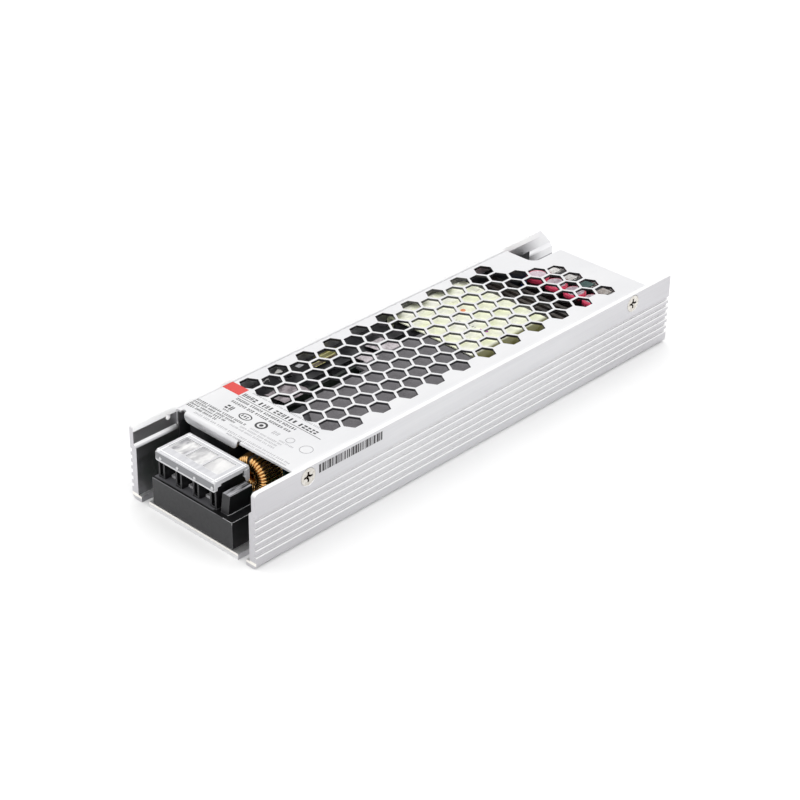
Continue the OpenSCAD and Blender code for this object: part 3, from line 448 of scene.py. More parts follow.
def copper_enamel():
    look = Look("copper_enamel", rgb(254, 208, 134), 0.2, 1.0)
    look.mottle((3, 5, 3), rgb(224, 158, 88), 0.7)
    look.set("Coat Weight", 1.0)
    look.set("Coat Roughness", 0.06)
    look.rough(look.noise(0.8, 2), 0.14, 0.26)
    return look.bump(look.noise(0.6, 2), 0.003)


def black_plastic():
    look = Look("black_plastic", rgb(40, 39, 40), 0.45).soft_edges(0.15)
    look.mottle(3, rgb(52, 51, 52))
    look.rough(look.noise(1, 3), 0.36, 0.56)
    return look.bump(look.noise(0.18, 2), 0.006)


def grey_case():
    look = Look("grey_case", rgb(34, 34, 37), 0.4).soft_edges(0.2)
    look.mottle(5, rgb(26, 26, 28))
    look.rough(look.noise(1.2, 3), 0.32, 0.5)
    return look.bump(look.noise(0.2, 2), 0.006)


def blue_coating():
    look = Look("blue_coating", rgb(52, 98, 160), 0.3)
    look.mottle(2.5, rgb(38, 78, 136))
    look.rough(look.noise(1.2, 3), 0.22, 0.42)
    return look.bump(look.noise(0.9, 3), 0.05)


def green_coating():
    look = Look("green_coating", rgb(52, 76, 58), 0.45)
    look.mottle(2.5, rgb(38, 60, 44))
    look.rough(look.noise(1.2, 3), 0.35, 0.55)
    return look.bump(look.noise(0.9, 3), 0.05)


def moulded_package():
    look = Look("moulded_package", rgb(78, 78, 82), 0.4).soft_edges(0.12)
    look.mottle(2, rgb(104, 104, 108))
    look.rough(look.noise(0.6, 3), 0.4, 0.62)
    return look.bump(look.noise(0.12, 2), 0.006)


def bare_aluminium():
    look = Look("bare_aluminium", rgb(176, 177, 180), 0.4, 0.5).soft_edges(0.15)
    look.mottle((3, 12, 3), rgb(132, 133, 136))
    look.rough(look.noise((0.4, 20, 0.4), 3), 0.32, 0.5)
    return look.bump(look.noise((0.2, 30, 0.2), 3), 0.005)


def black_sleeve():
    look = Look("black_sleeve", rgb(28, 28, 32), 0.28)
    look.mottle(6, rgb(40, 40, 45))
    look.rough(look.noise(2, 3), 0.22, 0.36)
    return look.bump(look.noise((3, 8, 3), 2), 0.03)


def grey_pad():
    look = Look("grey_pad", rgb(118, 116, 119), 0.75)
    look.mottle(0.35, rgb(95, 93, 96))
    look.mottle(7, rgb(124, 122, 125), 0.6)
    look.rough(look.noise(0.6, 3), 0.65, 0.85)
    return look.bump(look.noise(0.4, 3), 0.05)


def yellow_tape():
    """The transformer's tape, with painted shade on its right shoulder."""
    look = Look("yellow_tape", rgb(254, 254, 240), 0.3)
    look.mottle((5, 9, 5), rgb(248, 252, 210))
    # Painted shade: the right shoulder turns olive.
    look.tint(look.above(look.axis(X), TAPE_SHOULDER_X, 0.6), rgb(112, 110, 62))
    look.rough(look.noise((2, 5, 2), 3), 0.2, 0.38)
    return look.bump(look.noise((9, 3, 6), 3), 0.12)


def red_case():
    look = Look("red_case", rgb(158, 44, 40), 0.32).soft_edges(0.2)
    look.mottle(3, rgb(132, 32, 30))
    look.rough(look.noise(1.4, 3), 0.24, 0.42)
    return look.bump(look.noise(0.5, 3), 0.02)


def black_anodised():
    look = Look("black_anodised", rgb(62, 59, 58), 0.4, 0.4).soft_edges(0.1)
    look.mottle((9, 4, 3), rgb(92, 84, 78))
    look.rough(look.noise((20, 0.6, 0.6), 3), 0.3, 0.48)
    return look.bump(look.noise((30, 0.2, 0.2), 3), 0.005)


def can_top():
    """The output capacitors: bare tops in red sleeves."""
    look = Look("can_top", rgb(232, 216, 224), 0.32)
    look.mottle(1.2, rgb(206, 182, 194))
    # Distance from the middle of the nearest can
    ends = {1: CAN_X + CAN_PITCH / 2, 2: CAN_X - CAN_PITCH / 2}
    across = look.node("Math", {0: look.axis(X), **ends}, operation="WRAP").outputs[0]
    place = look.node("CombineXYZ", {0: across, 1: look.axis(Y)}).outputs[0]
    middle = (CAN_X, CAN_Y, 0)
    radius = look.node("VectorMath", {0: place, 1: middle}, operation="DISTANCE").outputs["Value"]
    sleeve = look.above(radius, CAN_TOP_R, 0.05)
    look.tint(sleeve, rgb(246, 74, 112))
    look.tint(look.both(sleeve, look.below(look.axis(Z), CAN_SHADE_Z, 0.2)), rgb(40, 30, 33))
    look.set("Metallic", look.spread(sleeve, 0.0, 1.0, 0.6, 0.0))
    look.rough(look.noise(0.8, 3), 0.26, 0.42)
    return look.bump(look.noise(0.25, 2), 0.006)


def green_lens():
    look = Look("green_lens", rgb(92, 190, 104), 0.12)
    look.set("Transmission Weight", 0.6)
    look.set("IOR", 1.5)
    look.mottle(1.5, rgb(70, 166, 84))
    return look.rough(look.noise(0.8, 2), 0.08, 0.2)


def blue_plastic():
    look = Look("blue_plastic", rgb(44, 82, 170), 0.4).soft_edges(0.12)
    look.mottle(2, rgb(34, 68, 148))
    look.rough(look.noise(0.8, 3), 0.32, 0.5)
    return look.bump(look.noise(0.15, 2), 0.006)


def white_plastic():
    look = Look("white_plastic", rgb(236, 233, 224), 0.42).soft_edges(0.08)
    look.mottle(1.2, rgb(222, 218, 207))
    look.rough(look.noise(0.6, 3), 0.35, 0.5)
    return look.bump(look.noise(0.15, 2), 0.005)


NODE_LOOKS = (
    anodised_aluminium, cover_sheet, nickel_steel, black_film, circuit_board, terminal_plastic,
    clear_plastic, ferrite, copper_enamel, black_plastic, grey_case, blue_coating, green_coating,
    moulded_package, bare_aluminium, black_sleeve, grey_pad, yellow_tape, red_case, black_anodised,
    can_top, green_lens, blue_plastic, white_plastic,
)
LOOKS = {make.__name__: make() for make in NODE_LOOKS}
BRIGHT_NICKEL = bright_nickel()
OWN_LOOKS = {
    "cover_screws": cover_screw_steel(),
    "control_board": dark_board(),
    "input_terminal_plates": terminal_plate_steel(),
    "input_terminal_screws": BRIGHT_NICKEL,
    "output_terminal_plates": BRIGHT_NICKEL,
    "output_terminal_screws": BRIGHT_NICKEL,
}

for subpart in frame["record"]["subparts"]:
    node = subpart["node"]
    look = OWN_LOOKS.get(node, LOOKS[subpart["material_slot"]])
    mesh = frame["nodes"][node].data
    mesh.materials.clear()
    mesh.materials.append(look.material)


# Looks of the pieces added here


def ink(name, colour, faded):
    """Screen-printed ink: slightly uneven, with a dull sheen."""
    look = Look(name, colour, 0.5)
    look.mottle(0.5, faded)
    look.rough(look.noise(0.5, 2), 0.42, 0.6)
    return look.bump(look.noise(0.1, 2), 0.003)


def film(name, colour, shade):
    """A thin glossy film with creases."""
    look = Look(name, colour, 0.3)
    look.mottle((2.2, 3, 2), shade)
    look.rough(look.noise(1.5, 2), 0.22, 0.4)
    return look.bump(look.noise(1.1, 3), 0.08)


def olive_strip():
    """Ribbed strips: olive on the left, brown on the right, with painted highlights on their crests."""
    look = Look("olive_strip", rgb(140, 136, 70), 0.3, 0.2)
    look.mottle((1, 8, 2), rgb(108, 104, 54))
    look.tint(look.above(look.axis(X), STRIP_SPLIT_X, 0.2), rgb(94, 80, 60))
    # Painted highlight: the crests turn pale.
    look.tint(look.above(look.axis(Z), FLAP_Z + STRIP_CREST, 0.1), rgb(206, 200, 126))
    look.set("Coat Weight", 0.8)
    look.rough(look.noise(0.8, 2), 0.16, 0.3)
    return look.bump(look.noise(0.6, 2), 0.004)


def tail_nickel():
    """Bright tails, tinted on the right."""
    look = Look("tail_nickel", rgb(240, 239, 237), 0.2, 0.5).soft_edges(0.12)
    look.mottle(1.2, rgb(196, 190, 184))
    look.tint(look.inside(X, *TEAL_TAIL_X), rgb(38, 84, 80))
    look.tint(look.both(look.above(look.axis(X), BROWN_TAIL_X), look.noise(1.4, 3)), rgb(112, 84, 62))
    look.rough(look.noise(0.7, 3), 0.16, 0.32)
    return look.bump(look.noise((0.3, 0.1, 0.3), 2), 0.006)


# Mesh helpers, in millimetres


def circle(middle, size, sides):
    """Points around an ellipse with half sizes along X and Y."""
    turn = [2 * math.pi * i / sides for i in range(sides)]
    return [(middle[0] + size[0] * math.cos(a), middle[1] + size[1] * math.sin(a)) for a in turn]


def add_box(bm, low, high):
    """Adds a block between two opposite corners."""
    xs, ys, zs = zip(low, high)
    v = [bm.verts.new(Vector((x, y, z)) * MM) for x in xs for y in ys for z in zs]
    for quad in ((0, 1, 3, 2), (4, 6, 7, 5), (0, 4, 5, 1), (2, 3, 7, 6), (0, 2, 6, 4), (1, 5, 7, 3)):
        bm.faces.new([v[i] for i in quad])


def add_ring(bm, middle, outer, inner, z, height, sides=40):
    """Adds a flat ring; outer and inner are its half sizes along X and Y."""
    rows = []
    for size, level in ((outer, z), (outer, z + height), (inner, z + height), (inner, z)):
        rows.append([bm.verts.new(Vector((x, y, level)) * MM) for x, y in circle(middle, size, sides)])
    for one, two in zip(rows, rows[1:] + rows[:1]):
        for i in range(sides):
            j = (i + 1) % sides
            bm.faces.new((one[i], one[j], two[j], two[i]))


def add_disc(bm, middle, radius, z, height, sides=24):
    """Adds a flat round plate."""
    points = circle(middle, (radius, radius), sides)
    low = [bm.verts.new(Vector((x, y, z)) * MM) for x, y in points]
    high = [bm.verts.new(Vector((x, y, z + height)) * MM) for x, y in points]
    bm.faces.new(low)
    bm.faces.new(high)
    for i in range(sides):
        j = (i + 1) % sides
        bm.faces.new((low[i], low[j], high[j], high[i]))


def add_sheet(bm, low, high, height, cells, thick):
    """Adds a thin sheet over a field in X and Y; height(x, y) gives its lower face."""
    grid = {}
    for i in range(cells[0] + 1):
        for j in range(cells[1] + 1):
            x = low[0] + (high[0] - low[0]) * i / cells[0]
            y = low[1] + (high[1] - low[1]) * j / cells[1]
            for up in (0, 1):
                grid[up, i, j] = bm.verts.new(Vector((x, y, height(x, y) + up * thick)) * MM)
    for i in range(cells[0]):
        for j in range(cells[1]):
            corners = ((i, j), (i + 1, j), (i + 1, j + 1), (i, j + 1))
            for up in (0, 1):
                bm.faces.new([grid[up, a, b] for a, b in corners])
    border = [(i, 0) for i in range(cells[0])]
    border += [(cells[0], j) for j in range(cells[1])]
    border += [(i, cells[1]) for i in range(cells[0], 0, -1)]
    border += [(0, j) for j in range(cells[1], 0, -1)]
    for (a, b), (c, d) in zip(border, border[1:] + border[:1]):
        bm.faces.new([grid[0, a, b], grid[0, c, d], grid[1, c, d], grid[1, a, b]])


def add_tube(bm, path, radius, sides=10):
    """Adds a round wire along a path of points."""
    points = [Vector(p) * MM for p in path]
    turns = [2 * math.pi * k / sides for k in range(sides)]
    side = (points[1] - points[0]).orthogonal().normalized()
    rows = []
    for i, point in enumerate(points):
        along = (points[min(i + 1, len(points) - 1)] - points[max(i - 1, 0)]).normalized()
        side = (side - along * side.dot(along)).normalized()
        across = along.cross(side)
        spokes = [side * math.cos(a) + across * math.sin(a) for a in turns]
        rows.append([bm.verts.new(point + spoke * radius * MM) for spoke in spokes])
    for one, two in zip(rows, rows[1:]):
        for k in range(sides):
            j = (k + 1) % sides
            bm.faces.new((one[k], one[j], two[j], two[k]))
    bm.faces.new(rows[0][::-1])
    bm.faces.new(rows[-1])


def make_piece(name, bm, look, smooth=False, stands_for=(), body="chassis"):
    """Turns a bmesh into a piece that rides on a body."""
    bmesh.ops.recalc_face_normals(bm, faces=bm.faces)
    mesh = bpy.data.meshes.new(name)
    bm.to_mesh(mesh)
    bm.free()
    for polygon in mesh.polygons:
        polygon.use_smooth = smooth
    mesh.materials.append(look.material)
    obj = bpy.data.objects.new(name, mesh)
    scene.collection.objects.link(obj)
    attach(obj, body)
    if stands_for:
        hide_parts(*stands_for)


# Printed marks: rows of plain blocks, rings, a plain field and plain bars

INK_T = 0.02
PRINT_SEED = 3
BARS_SEED = 11
# Least and most marks in a group
GROUP_MARKS = (3, 8)
# Share of half a row's height that a mark reaches up or down
MARK_REACH = (0.8, 1)
# Shares of a row's height: the width of a mark, and the gaps after a mark and after a group
MARK_WIDTH = (0.45, 0.7)
MARK_GAP = 0.26
GROUP_GAP = 0.45
# Shares of a mark: the thickness of a bar, and the start and end of a block
MARK_BAR = 0.36
MARK_BLOCK = (0.2, 0.8)
# Rows of marks: first and last X, middle Y and height
DARK_ROWS = (
    (-17.0, 16.5, -60.1, 1.9),
    (-16.8, 9.4, -63.1, 1.15),
    (-16.8, 9.4, -65.1, 1.15),
    (-8.6, -5.2, -68.7, 1.2),
    (-15.8, -11.4, -68.3, 2.2),
    (-15.2, -12.4, -70.2, 0.7),
    (-25.0, -3.0, -71.9, 0.95),
    (-25.0, -6.0, -73.25, 0.95),
    (-25.0, -9.0, -74.6, 0.95),
    (-25.0, -12.0, -75.95, 0.95),
)
GREY_ROWS = (
    (-15.6, 14.0, -57.4, 0.8),
    (5.2, 9.0, -68.7, 1.8),
    (-1.0, 12.5, -72.1, 0.8),
    (-4.0, 12.5, -73.5, 0.8),
    (-7.0, 12.5, -74.9, 0.8),
    (10.0, 16.2, -70.8, 0.7),
    (-19.8, 21.7, -77.7, 0.9),
    (-4.0, 21.7, -79.0, 0.7),
)
# Rings: middle, outer half sizes and inner half sizes
DARK_RINGS = (((-6.9, -68.7), (2.5, 1.7), (2.1, 1.3)), ((0.1, -68.7), (2.1, 2.0), (1.4, 1.3)))
GREY_RINGS = (((19.4, -68.7), (2.2, 2.2), (1.9, 1.9)), ((12.4, -68.5), (1.5, 1.5), (1.2, 1.2)))
# Middle and radius
DARK_DISC = ((0.1, -68.7), 0.7)
# Fields: lowest X and Y, highest X and Y
DARK_LINE = ((-17.5, -61.8), (18.3, -61.6))
RED_FIELD = ((-25.2, -61.4), (-17.8, -57.0))
# Bars on the wall: their range along Y and Z, and the widths and gaps that are drawn from
BARS_Y = (-71.4, -44.9)
BARS_Z = (22.1, 25.0)
BAR_WIDTHS = (0.3, 0.45, 0.6, 0.9)
BAR_GAPS = (0.22, 0.3, 0.3, 0.45)


def add_field(bm, low, high, z):
    """Adds a plain field of ink that lies at a height."""
    add_box(bm, (low[0], low[1], z), (high[0], high[1], z + INK_T))


def add_mark(bm, rng, x, width, y, height):
    """Adds one plain mark: a block, two bars side by side or two bars above each other."""
    low = y - height / 2 * rng.uniform(*MARK_REACH)
    high = y + height / 2 * rng.uniform(*MARK_REACH)
    kind = rng.randrange(3)
    if kind == 0:
        bar = (high - low) * MARK_BAR
        fields = [((x, low), (x + width, low + bar)), ((x, high - bar), (x + width, high))]
    elif kind == 1:
        bar = width * MARK_BAR
        fields = [((x, low), (x + bar, high)), ((x + width - bar, low), (x + width, high))]
    else:
        start, end = MARK_BLOCK
        fields = [((x + width * start, low), (x + width * end, high))]
    for corners in fields:
        add_field(bm, *corners, COVER_TOP)


def add_row(bm, rng, x0, x1, y, height):
    """Adds a row of plain marks in groups from x0 to x1."""
    x = x0
    while x < x1:
        for _ in range(rng.randint(*GROUP_MARKS)):
            width = height * rng.uniform(*MARK_WIDTH)
            if x + width > x1:
                return
            add_mark(bm, rng, x, width, y, height)
            x += width + height * MARK_GAP
        x += height * GROUP_GAP


def add_print(bm, rng, rows, rings):
    """Adds rows of marks and rings to the cover."""
    for row in rows:
        add_row(bm, rng, *row)
    for ring in rings:
        add_ring(bm, *ring, COVER_TOP, INK_T)


def cover_print():
    """Plain dark, grey and red marks on the front part of the cover."""
    rng = random.Random(PRINT_SEED)
    dark = bmesh.new()
    add_print(dark, rng, DARK_ROWS, DARK_RINGS)
    add_field(dark, *DARK_LINE, COVER_TOP)
    add_disc(dark, *DARK_DISC, COVER_TOP, INK_T)
    make_piece("cover_print_dark", dark, ink("ink_dark", rgb(28, 28, 30), rgb(54, 54, 56)))

    grey = bmesh.new()
    add_print(grey, rng, GREY_ROWS, GREY_RINGS)
    grey_ink = ink("ink_grey", rgb(150, 150, 152), rgb(176, 176, 178))
    make_piece("cover_print_grey", grey, grey_ink)

    red = bmesh.new()
    add_field(red, *RED_FIELD, COVER_TOP)
    make_piece("cover_print_red", red, ink("ink_red", rgb(190, 44, 38), rgb(200, 60, 52)))


def wall_bars():
    """A strip of plain bars of random widths on the right wall."""
    rng = random.Random(BARS_SEED)
    wall_x = node_box("base_channel")[1].x
    bm = bmesh.new()
    y = BARS_Y[0]
    while y < BARS_Y[1]:
        width = rng.choice(BAR_WIDTHS)
        add_box(bm, (wall_x, y, BARS_Z[0]), (wall_x + INK_T, y + width, BARS_Z[1]))
        y += width + rng.choice(BAR_GAPS)
    make_piece("wall_bars", bm, ink("ink_bars", rgb(46, 44, 46), rgb(66, 63, 65)))


# Line choke: a dense winding of enamelled wire in two halves

CHOKE_TURNS = 18
# Degrees around the ring from one turn to the next
CHOKE_STEP = 9.4
CHOKE_WIRE_R = 0.46
CHOKE_TURN_POINTS = 28
CHOKE_CORE_R = 1.5
CHOKE_AIR = 0.04
# Rise of the second layer inside the ring, in wire radii
CHOKE_LAYER = 1.7
# Share of a turn between the inside of the ring and the turn's end
CHOKE_LEAVES = 0.25
# How soon a turn reaches the core's end faces
CHOKE_CORNER = 3


def choke_point(middle, ring_r, half_l, turn, half):
    """A point of the winding: turn counts turns along one half, as a real number."""
    angle = math.radians((turn - CHOKE_TURNS / 2) * CHOKE_STEP + 180 * half)
    reach = CHOKE_CORE_R + CHOKE_WIRE_R + CHOKE_AIR
    # The layer changes where the wire leaves the inside of the ring
    layer = math.floor(turn + CHOKE_LEAVES) % 2
    inner = reach + CHOKE_LAYER * CHOKE_WIRE_R * layer
    around = 2 * math.pi * (turn % 1)
    out = math.cos(around)
    depth = math.sin(around)
    radius = ring_r + (reach if out > 0 else inner) * out
    y = math.copysign(half_l, depth) * min(1.0, abs(depth) * CHOKE_CORNER) + reach * depth
    return (middle.x + radius * math.cos(angle), middle.y + y, middle.z + radius * math.sin(angle))


def choke_winding():
    """Winds both halves of the ring."""
    low, high = node_box("line_choke_core")
    middle = (low + high) / 2
    ring_r = (high.x - low.x) / 2 - CHOKE_CORE_R
    half_l = (high.y - low.y) / 2 - CHOKE_CORE_R
    turns = [i / CHOKE_TURN_POINTS for i in range(CHOKE_TURNS * CHOKE_TURN_POINTS)]
    bm = bmesh.new()
    for half in (0, 1):
        path = [choke_point(middle, ring_r, half_l, turn, half) for turn in turns]
        add_tube(bm, path, CHOKE_WIRE_R)
    make_piece("choke_winding", bm, LOOKS["copper_enamel"], True, ["line_choke_winding"])


# A tab on the clear cover's right ear

TAB_T = 0.2
TAB_Y = (-84.2, -82.7)
TAB_Z = 17.2
TAB_BELOW_LID = 0.9
TAB_FOOT_Y = (-83.9, -83.0)
TAB_FOOT_Z = 16.7


def cover_tab():
    """A narrow tab with a narrower foot, which swings with the clear cover."""
    high = node_box("terminal_cover")[1]
    outer = high.x + TAB_T
    bm = bmesh.new()
    add_box(bm, (high.x, TAB_Y[0], TAB_Z), (outer, TAB_Y[1], high.z - TAB_BELOW_LID))
    add_box(bm, (high.x, TAB_FOOT_Y[0], TAB_FOOT_Z), (outer, TAB_FOOT_Y[1], TAB_Z))
    make_piece("cover_tab", bm, LOOKS["clear_plastic"], body="clear_cover")


# Films on the pad

FILM_T = 0.05
FILM_LAP = 0.9
FILM_AIR = 0.03
FILM_SEED = 5
FILM_CREASES = 5
# Ranges of a crease's waves along Y and X, in radians per millimetre, and of its start
FILM_WAVES = ((0.7, 2.2), (-1, 1), (0, 6))
FILM_CREASE_H = 0.12
FILM_DROP = 0.17
# Each film's reach beyond the pad's left edge, its range along Y and its cells
REAR_FILMS = ((5.0, (-15.5, -9.5), (14, 16)), (9.0, (-7.0, 1.0), (22, 22)))
FRONT_FILMS = ((8.4, (-51.5, -40.5), (20, 30)),)


def pad_films():
    """Creased films that lie on the pad's left edge and hang down beside it."""
    low, high = node_box("gap_pad")
    rng = random.Random(FILM_SEED)
    creases = [[rng.uniform(*span) for span in FILM_WAVES] for _ in range(FILM_CREASES)]

    def height(x, y):
        away = max(0.0, low.x - x)
        wave = sum(math.sin(a * y + b * x + c) for a, b, c in creases)
        crease = min(1.0, away) * FILM_CREASE_H * (wave + FILM_CREASES) / 2
        return high.z + FILM_AIR + crease - FILM_DROP * away

    def make_films(name, films, look):
        bm = bmesh.new()
        for reach, (y0, y1), cells in films:
            add_sheet(bm, (low.x - reach, y0), (low.x + FILM_LAP, y1), height, cells, FILM_T)
        make_piece(name, bm, look, True)

    make_films("pad_film_rear", REAR_FILMS, film("film_pale", rgb(226, 218, 222), rgb(158, 150, 154)))
    make_films("pad_film_front", FRONT_FILMS, film("film_grey", rgb(178, 168, 173), rgb(112, 104, 108)))


# Small things on the liner's flap; their X counts from the flap's left edge

FLAP_AIR = 0.01
STRIP_T = 0.08
STRIP_CELLS = (40, 20)
STRIP_RIB_H = 0.75
STRIP_RIB_PITCH = 2.1
STRIP_RIB_X = 2.0
STRIP_WAVE = 0.06
STRIP_WAVE_RATE = 0.9
# Where the strips turn brown, and the height above the flap where their crests get a painted highlight
STRIP_SPLIT_X = -21.1
STRIP_CREST = 0.72
# Lowest and highest corner of each strip
STRIPS = (((0.6, -23.5), (3.2, -14.6)), ((3.25, -28.0), (6.3, -17.0)))
LOOP_X = 1.5
LOOP_Y = -45.3
LOOP_R = 1.4
LOOP_LEAN = 0.4
LOOP_AIR = 0.03
LOOP_WIRE_R = 0.22
LOOP_STEPS = 16
FOIL_T = 0.05
FOIL_X = (0.2, 2.0)
FOIL_Y = (-31.4, -28.8)
FOIL_CELLS = (6, 8)
FOIL_CURL = 0.05
TAG_T = 0.1
TAG_Y = (-41.4, -40.2)
TAG_TOP = 21.7
TAG_FOLD = ((0.0, -40.4, 21.6), (1.8, -37.9, 22.2), (0.0, -38.4, 23.3))
TAG_FOLD_T = (0.06, 0.0, -0.1)


def flap_strip():
    """Two ribbed strips side by side, with their ribs along Y."""

    def height(x, y):
        rib = 0.5 + 0.5 * math.cos(2 * math.pi * (x - FLAP_X - STRIP_RIB_X) / STRIP_RIB_PITCH)
        return FLAP_Z + FLAP_AIR + STRIP_RIB_H * rib * (1 - STRIP_WAVE * math.sin(STRIP_WAVE_RATE * y))

    bm = bmesh.new()
    for (x0, y0), (x1, y1) in STRIPS:
        add_sheet(bm, (FLAP_X + x0, y0), (FLAP_X + x1, y1), height, STRIP_CELLS, STRIP_T)
    make_piece("flap_strip", bm, olive_strip(), True)


def flap_wire():
    """A bare wire loop that stands on the flap."""
    path = []
    for i in range(LOOP_STEPS + 1):
        turn = math.pi * i / LOOP_STEPS
        x = FLAP_X + LOOP_X + LOOP_LEAN * math.sin(turn)
        z = FLAP_Z + LOOP_AIR + LOOP_R * math.sin(turn)
        path.append((x, LOOP_Y + LOOP_R * math.cos(turn), z))
    bm = bmesh.new()
    add_tube(bm, path, LOOP_WIRE_R)
    make_piece("flap_wire", bm, BRIGHT_NICKEL, True)


def flap_foil():
    """A pale piece of foil that curls up towards its rear edge."""

    def height(x, y):
        return FLAP_Z + FLAP_AIR + FOIL_CURL * (y - FOIL_Y[0]) ** 2

    bm = bmesh.new()
    low = (FLAP_X + FOIL_X[0], FOIL_Y[0])
    high = (FLAP_X + FOIL_X[1], FOIL_Y[1])
    add_sheet(bm, low, high, height, FOIL_CELLS, FOIL_T)
    foil = film("foil_pale", rgb(236, 236, 240), rgb(186, 186, 190))
    make_piece("flap_foil", bm, foil, True)


def flap_tag():
    """A bright foil tag that stands on the flap's fold, with a folded corner above it."""
    bm = bmesh.new()
    add_box(bm, (FLAP_X, TAG_Y[0], FLAP_Z + FLAP_AIR), (FLAP_X + TAG_T, TAG_Y[1], TAG_TOP))
    fold = [Vector((FLAP_X + x, y, z)) for x, y, z in TAG_FOLD]
    outer = [bm.verts.new(p * MM) for p in fold]
    under = [bm.verts.new((p + Vector(TAG_FOLD_T)) * MM) for p in fold]
    bm.faces.new(outer)
    bm.faces.new(under)
    for i in range(3):
        j = (i + 1) % 3
        bm.faces.new((outer[i], outer[j], under[j], under[i]))
    make_piece("flap_tag", bm, LOOKS["nickel_steel"])


# Tails of the output terminal

TAIL_X = (-12.23, -4.61, 3.01, 10.63)
TAIL_T = 0.25
TAIL_CELLS = (8, 8)
TAIL_HALF_W = 2.0
TAIL_LAP = 3.7
TAIL_OUT = 0.3
TAIL_AIR = 0.05
TAIL_WAVE = 0.03
TAIL_WAVE_RATE = 1.4
TAIL_LEG_HALF_W = 1.4
TAIL_LEG_L = 3.5
TAIL_LEG_AIR = 0.02
TAIL_LEG_TOP = 0.1
# Ranges along X that are tinted
TEAL_TAIL_X = (-0.8, 6.8)
BROWN_TAIL_X = 7.0


def terminal_tails():
    """Bright tails folded over the inner wall of the output block, one for each pole."""
    low, high = node_box("output_terminal_block")
    outer = low.y - TAIL_OUT

    def height(x, y):
        return high.z + TAIL_AIR + TAIL_WAVE * math.sin(TAIL_WAVE_RATE * x)

    bm = bmesh.new()
    for x in TAIL_X:
        corner = (x - TAIL_HALF_W, outer)
        add_sheet(bm, corner, (x + TAIL_HALF_W, low.y + TAIL_LAP), height, TAIL_CELLS, TAIL_T)
        leg_low = (x - TAIL_LEG_HALF_W, outer, high.z - TAIL_LEG_L)
        add_box(bm, leg_low, (x + TAIL_LEG_HALF_W, low.y - TAIL_LEG_AIR, high.z + TAIL_LEG_TOP))
    make_piece("terminal_tails", bm, tail_nickel())


# A loose layer and pen marks on the transformer's tape

LAYER_T = 0.06
LAYER_CELLS = (20, 12)
LAYER_AIR = 0.01
LAYER_INSET = (0.1, 1.2)
LAYER_END_X = -15.0
LAYER_END_GAP = 0.8
LAYER_BEND_X = -23.2
LAYER_BEND = 0.02
# Middle and radius of the dot and the spot
DOT = ((-9.2, 32.0), 0.95)
SPOT = ((6.0, 26.6), 0.6)
SPOT_LINE = ((3.4, 26.2), (4.7, 26.6))
STROKE_SEED = 4
STROKES = 9
STROKE_START = (-7.4, 25.2)
STROKE_STEP = (1.1, 0.1)
STROKE_REACH = (0.2, 0.6)
STROKE_WIDTH = (0.3, 0.7)


def tape_layer():
    """A loose upper layer of tape that bridges the left shoulder of the transformer."""
    low, high = node_box("transformer_tape")

    def height(x, y):
        return high.z + LAYER_AIR - LAYER_BEND * max(0, LAYER_BEND_X - x) ** 2

    corner = (low.x + LAYER_INSET[0], low.y + LAYER_INSET[1])
    bm = bmesh.new()
    add_sheet(bm, corner, (LAYER_END_X, high.y - LAYER_END_GAP), height, LAYER_CELLS, LAYER_T)
    make_piece("tape_layer", bm, LOOKS["yellow_tape"], True)


def tape_marks():
    """A dot, a spot and faint strokes on top of the tape."""
    top = node_box("transformer_tape")[1].z
    bm = bmesh.new()
    add_disc(bm, *DOT, top, INK_T)
    make_piece("tape_dot", bm, ink("ink_orange", rgb(244, 140, 84), rgb(238, 160, 110)))
    bm = bmesh.new()
    add_disc(bm, *SPOT, top, INK_T)
    add_field(bm, *SPOT_LINE, top)
    make_piece("tape_spot", bm, ink("ink_purple", rgb(158, 40, 158), rgb(206, 110, 206)))
    rng = random.Random(STROKE_SEED)
    bm = bmesh.new()
    for i in range(STROKES):
        x = STROKE_START[0] + STROKE_STEP[0] * i
        y = STROKE_START[1] + STROKE_STEP[1] * i
        below = rng.uniform(*STROKE_REACH)
        width = rng.uniform(*STROKE_WIDTH)
        above = rng.uniform(*STROKE_REACH)
        add_field(bm, (x, y - below), (x + width, y + above), top)
    make_piece("tape_strokes", bm, ink("ink_faint", rgb(176, 178, 182), rgb(204, 206, 204)))


# Stage: floor, light and camera

# Half of the floor's side, in millimetres
FLOOR_REACH = 3000
# Strength of the surroundings where they light a dull surface
WORLD_LIGHT = 1.4
# Lamps: place and size in metres, power in watts
OVERHEAD_LAMP = ((-0.3, 0.2, 2.2), 3.0, 9)
SIDE_LAMP = ((1.6, -0.2, 1.2), 1.4, 3)
# Camera: angles in degrees, its lens and its place in millimetres
CAMERA_AZIMUTH = 42.955
CAMERA_ELEVATION = 30.672
CAMERA_ROLL = 1.157
CAMERA_LENS = 96.08
CAMERA_DISTANCE = 696.96
CAMERA_ASIDE = -5.193
CAMERA_ABOVE = 4.749


def make_floor():
    """A wide plain floor."""
    look = Look("floor", rgb(232, 232, 232), 0.9)
    look.mottle(60, rgb(230, 230, 230))
    look.set("Specular IOR Level", 0.0)
    bm = bmesh.new()
    corners = [(x * FLOOR_REACH, y * FLOOR_REACH, 0) for x, y in ((-1, -1), (1, -1), (1, 1), (-1, 1))]
    bm.faces.new([bm.verts.new(Vector(c) * MM) for c in corners])
    mesh = bpy.data.meshes.new("floor")
    bm.to_mesh(mesh)
    bm.free()
    mesh.materials.append(look.material)
    floor = bpy.data.objects.new("floor", mesh)
    scene.collection.objects.link(floor)


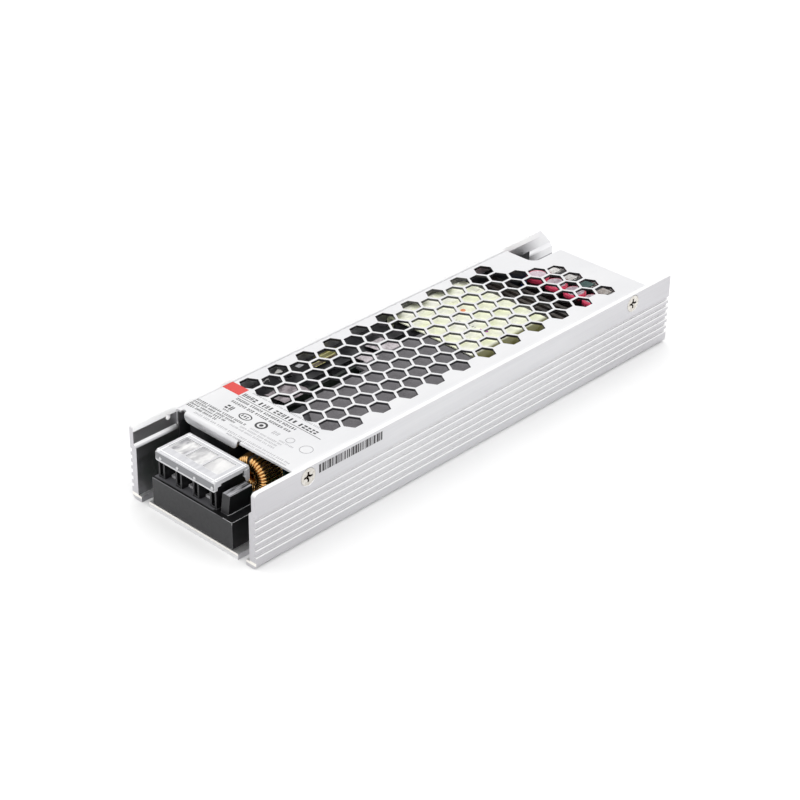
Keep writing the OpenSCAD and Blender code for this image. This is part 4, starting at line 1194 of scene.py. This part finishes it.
def make_world():
    """Even white surroundings, at full strength where they are seen directly or in a reflection."""
    world = bpy.data.worlds.new("studio")
    world.use_nodes = True
    tree = world.node_tree
    paths = tree.nodes.new("ShaderNodeLightPath")
    seen = paths.outputs["Is Camera Ray"]
    for name in ("Is Glossy Ray", "Is Transmission Ray"):
        either = tree.nodes.new("ShaderNodeMath")
        either.operation = "MAXIMUM"
        tree.links.new(seen, either.inputs[0])
        tree.links.new(paths.outputs[name], either.inputs[1])
        seen = either.outputs[0]
    strength = tree.nodes.new("ShaderNodeMapRange")
    tree.links.new(seen, strength.inputs["Value"])
    strength.inputs["To Min"].default_value = WORLD_LIGHT
    strength.inputs["To Max"].default_value = 1.0
    background = tree.nodes["Background"]
    background.inputs["Color"].default_value = (1, 1, 1, 1)
    tree.links.new(strength.outputs["Result"], background.inputs["Strength"])
    scene.world = world


def make_lamp(name, place, size, power):
    """A square soft lamp that faces the middle of the object."""
    data = bpy.data.lights.new(name, "AREA")
    data.size = size
    data.energy = power
    lamp = bpy.data.objects.new(name, data)
    lamp.location = place
    lamp.rotation_mode = "QUATERNION"
    lamp.rotation_quaternion = Vector(place).to_track_quat("Z", "Y")
    scene.collection.objects.link(lamp)


def make_camera():
    """The camera at the photograph's viewing angle."""
    azimuth, elevation, roll = map(math.radians, (CAMERA_AZIMUTH, CAMERA_ELEVATION, CAMERA_ROLL))
    flat = math.cos(elevation)
    back = Vector((math.sin(azimuth) * flat, -math.cos(azimuth) * flat, math.sin(elevation)))
    level = Vector((math.cos(azimuth), math.sin(azimuth), 0))
    upright = back.cross(level)
    right = level * math.cos(roll) + upright * math.sin(roll)
    above = back.cross(right)
    data = bpy.data.cameras.new("camera")
    data.lens = CAMERA_LENS
    camera = bpy.data.objects.new("camera", data)
    place = (back * CAMERA_DISTANCE + right * CAMERA_ASIDE + above * CAMERA_ABOVE) * MM
    turn = Matrix((right, above, back)).transposed()
    camera.matrix_world = Matrix.Translation(place) @ turn.to_4x4()
    scene.collection.objects.link(camera)
    scene.camera = camera


cover_print()
wall_bars()
choke_winding()
cover_tab()
pad_films()
flap_strip()
flap_wire()
flap_foil()
flap_tag()
terminal_tails()
tape_layer()
tape_marks()
make_floor()
make_world()
make_lamp("overhead", *OVERHEAD_LAMP)
make_lamp("side", *SIDE_LAMP)
make_camera()
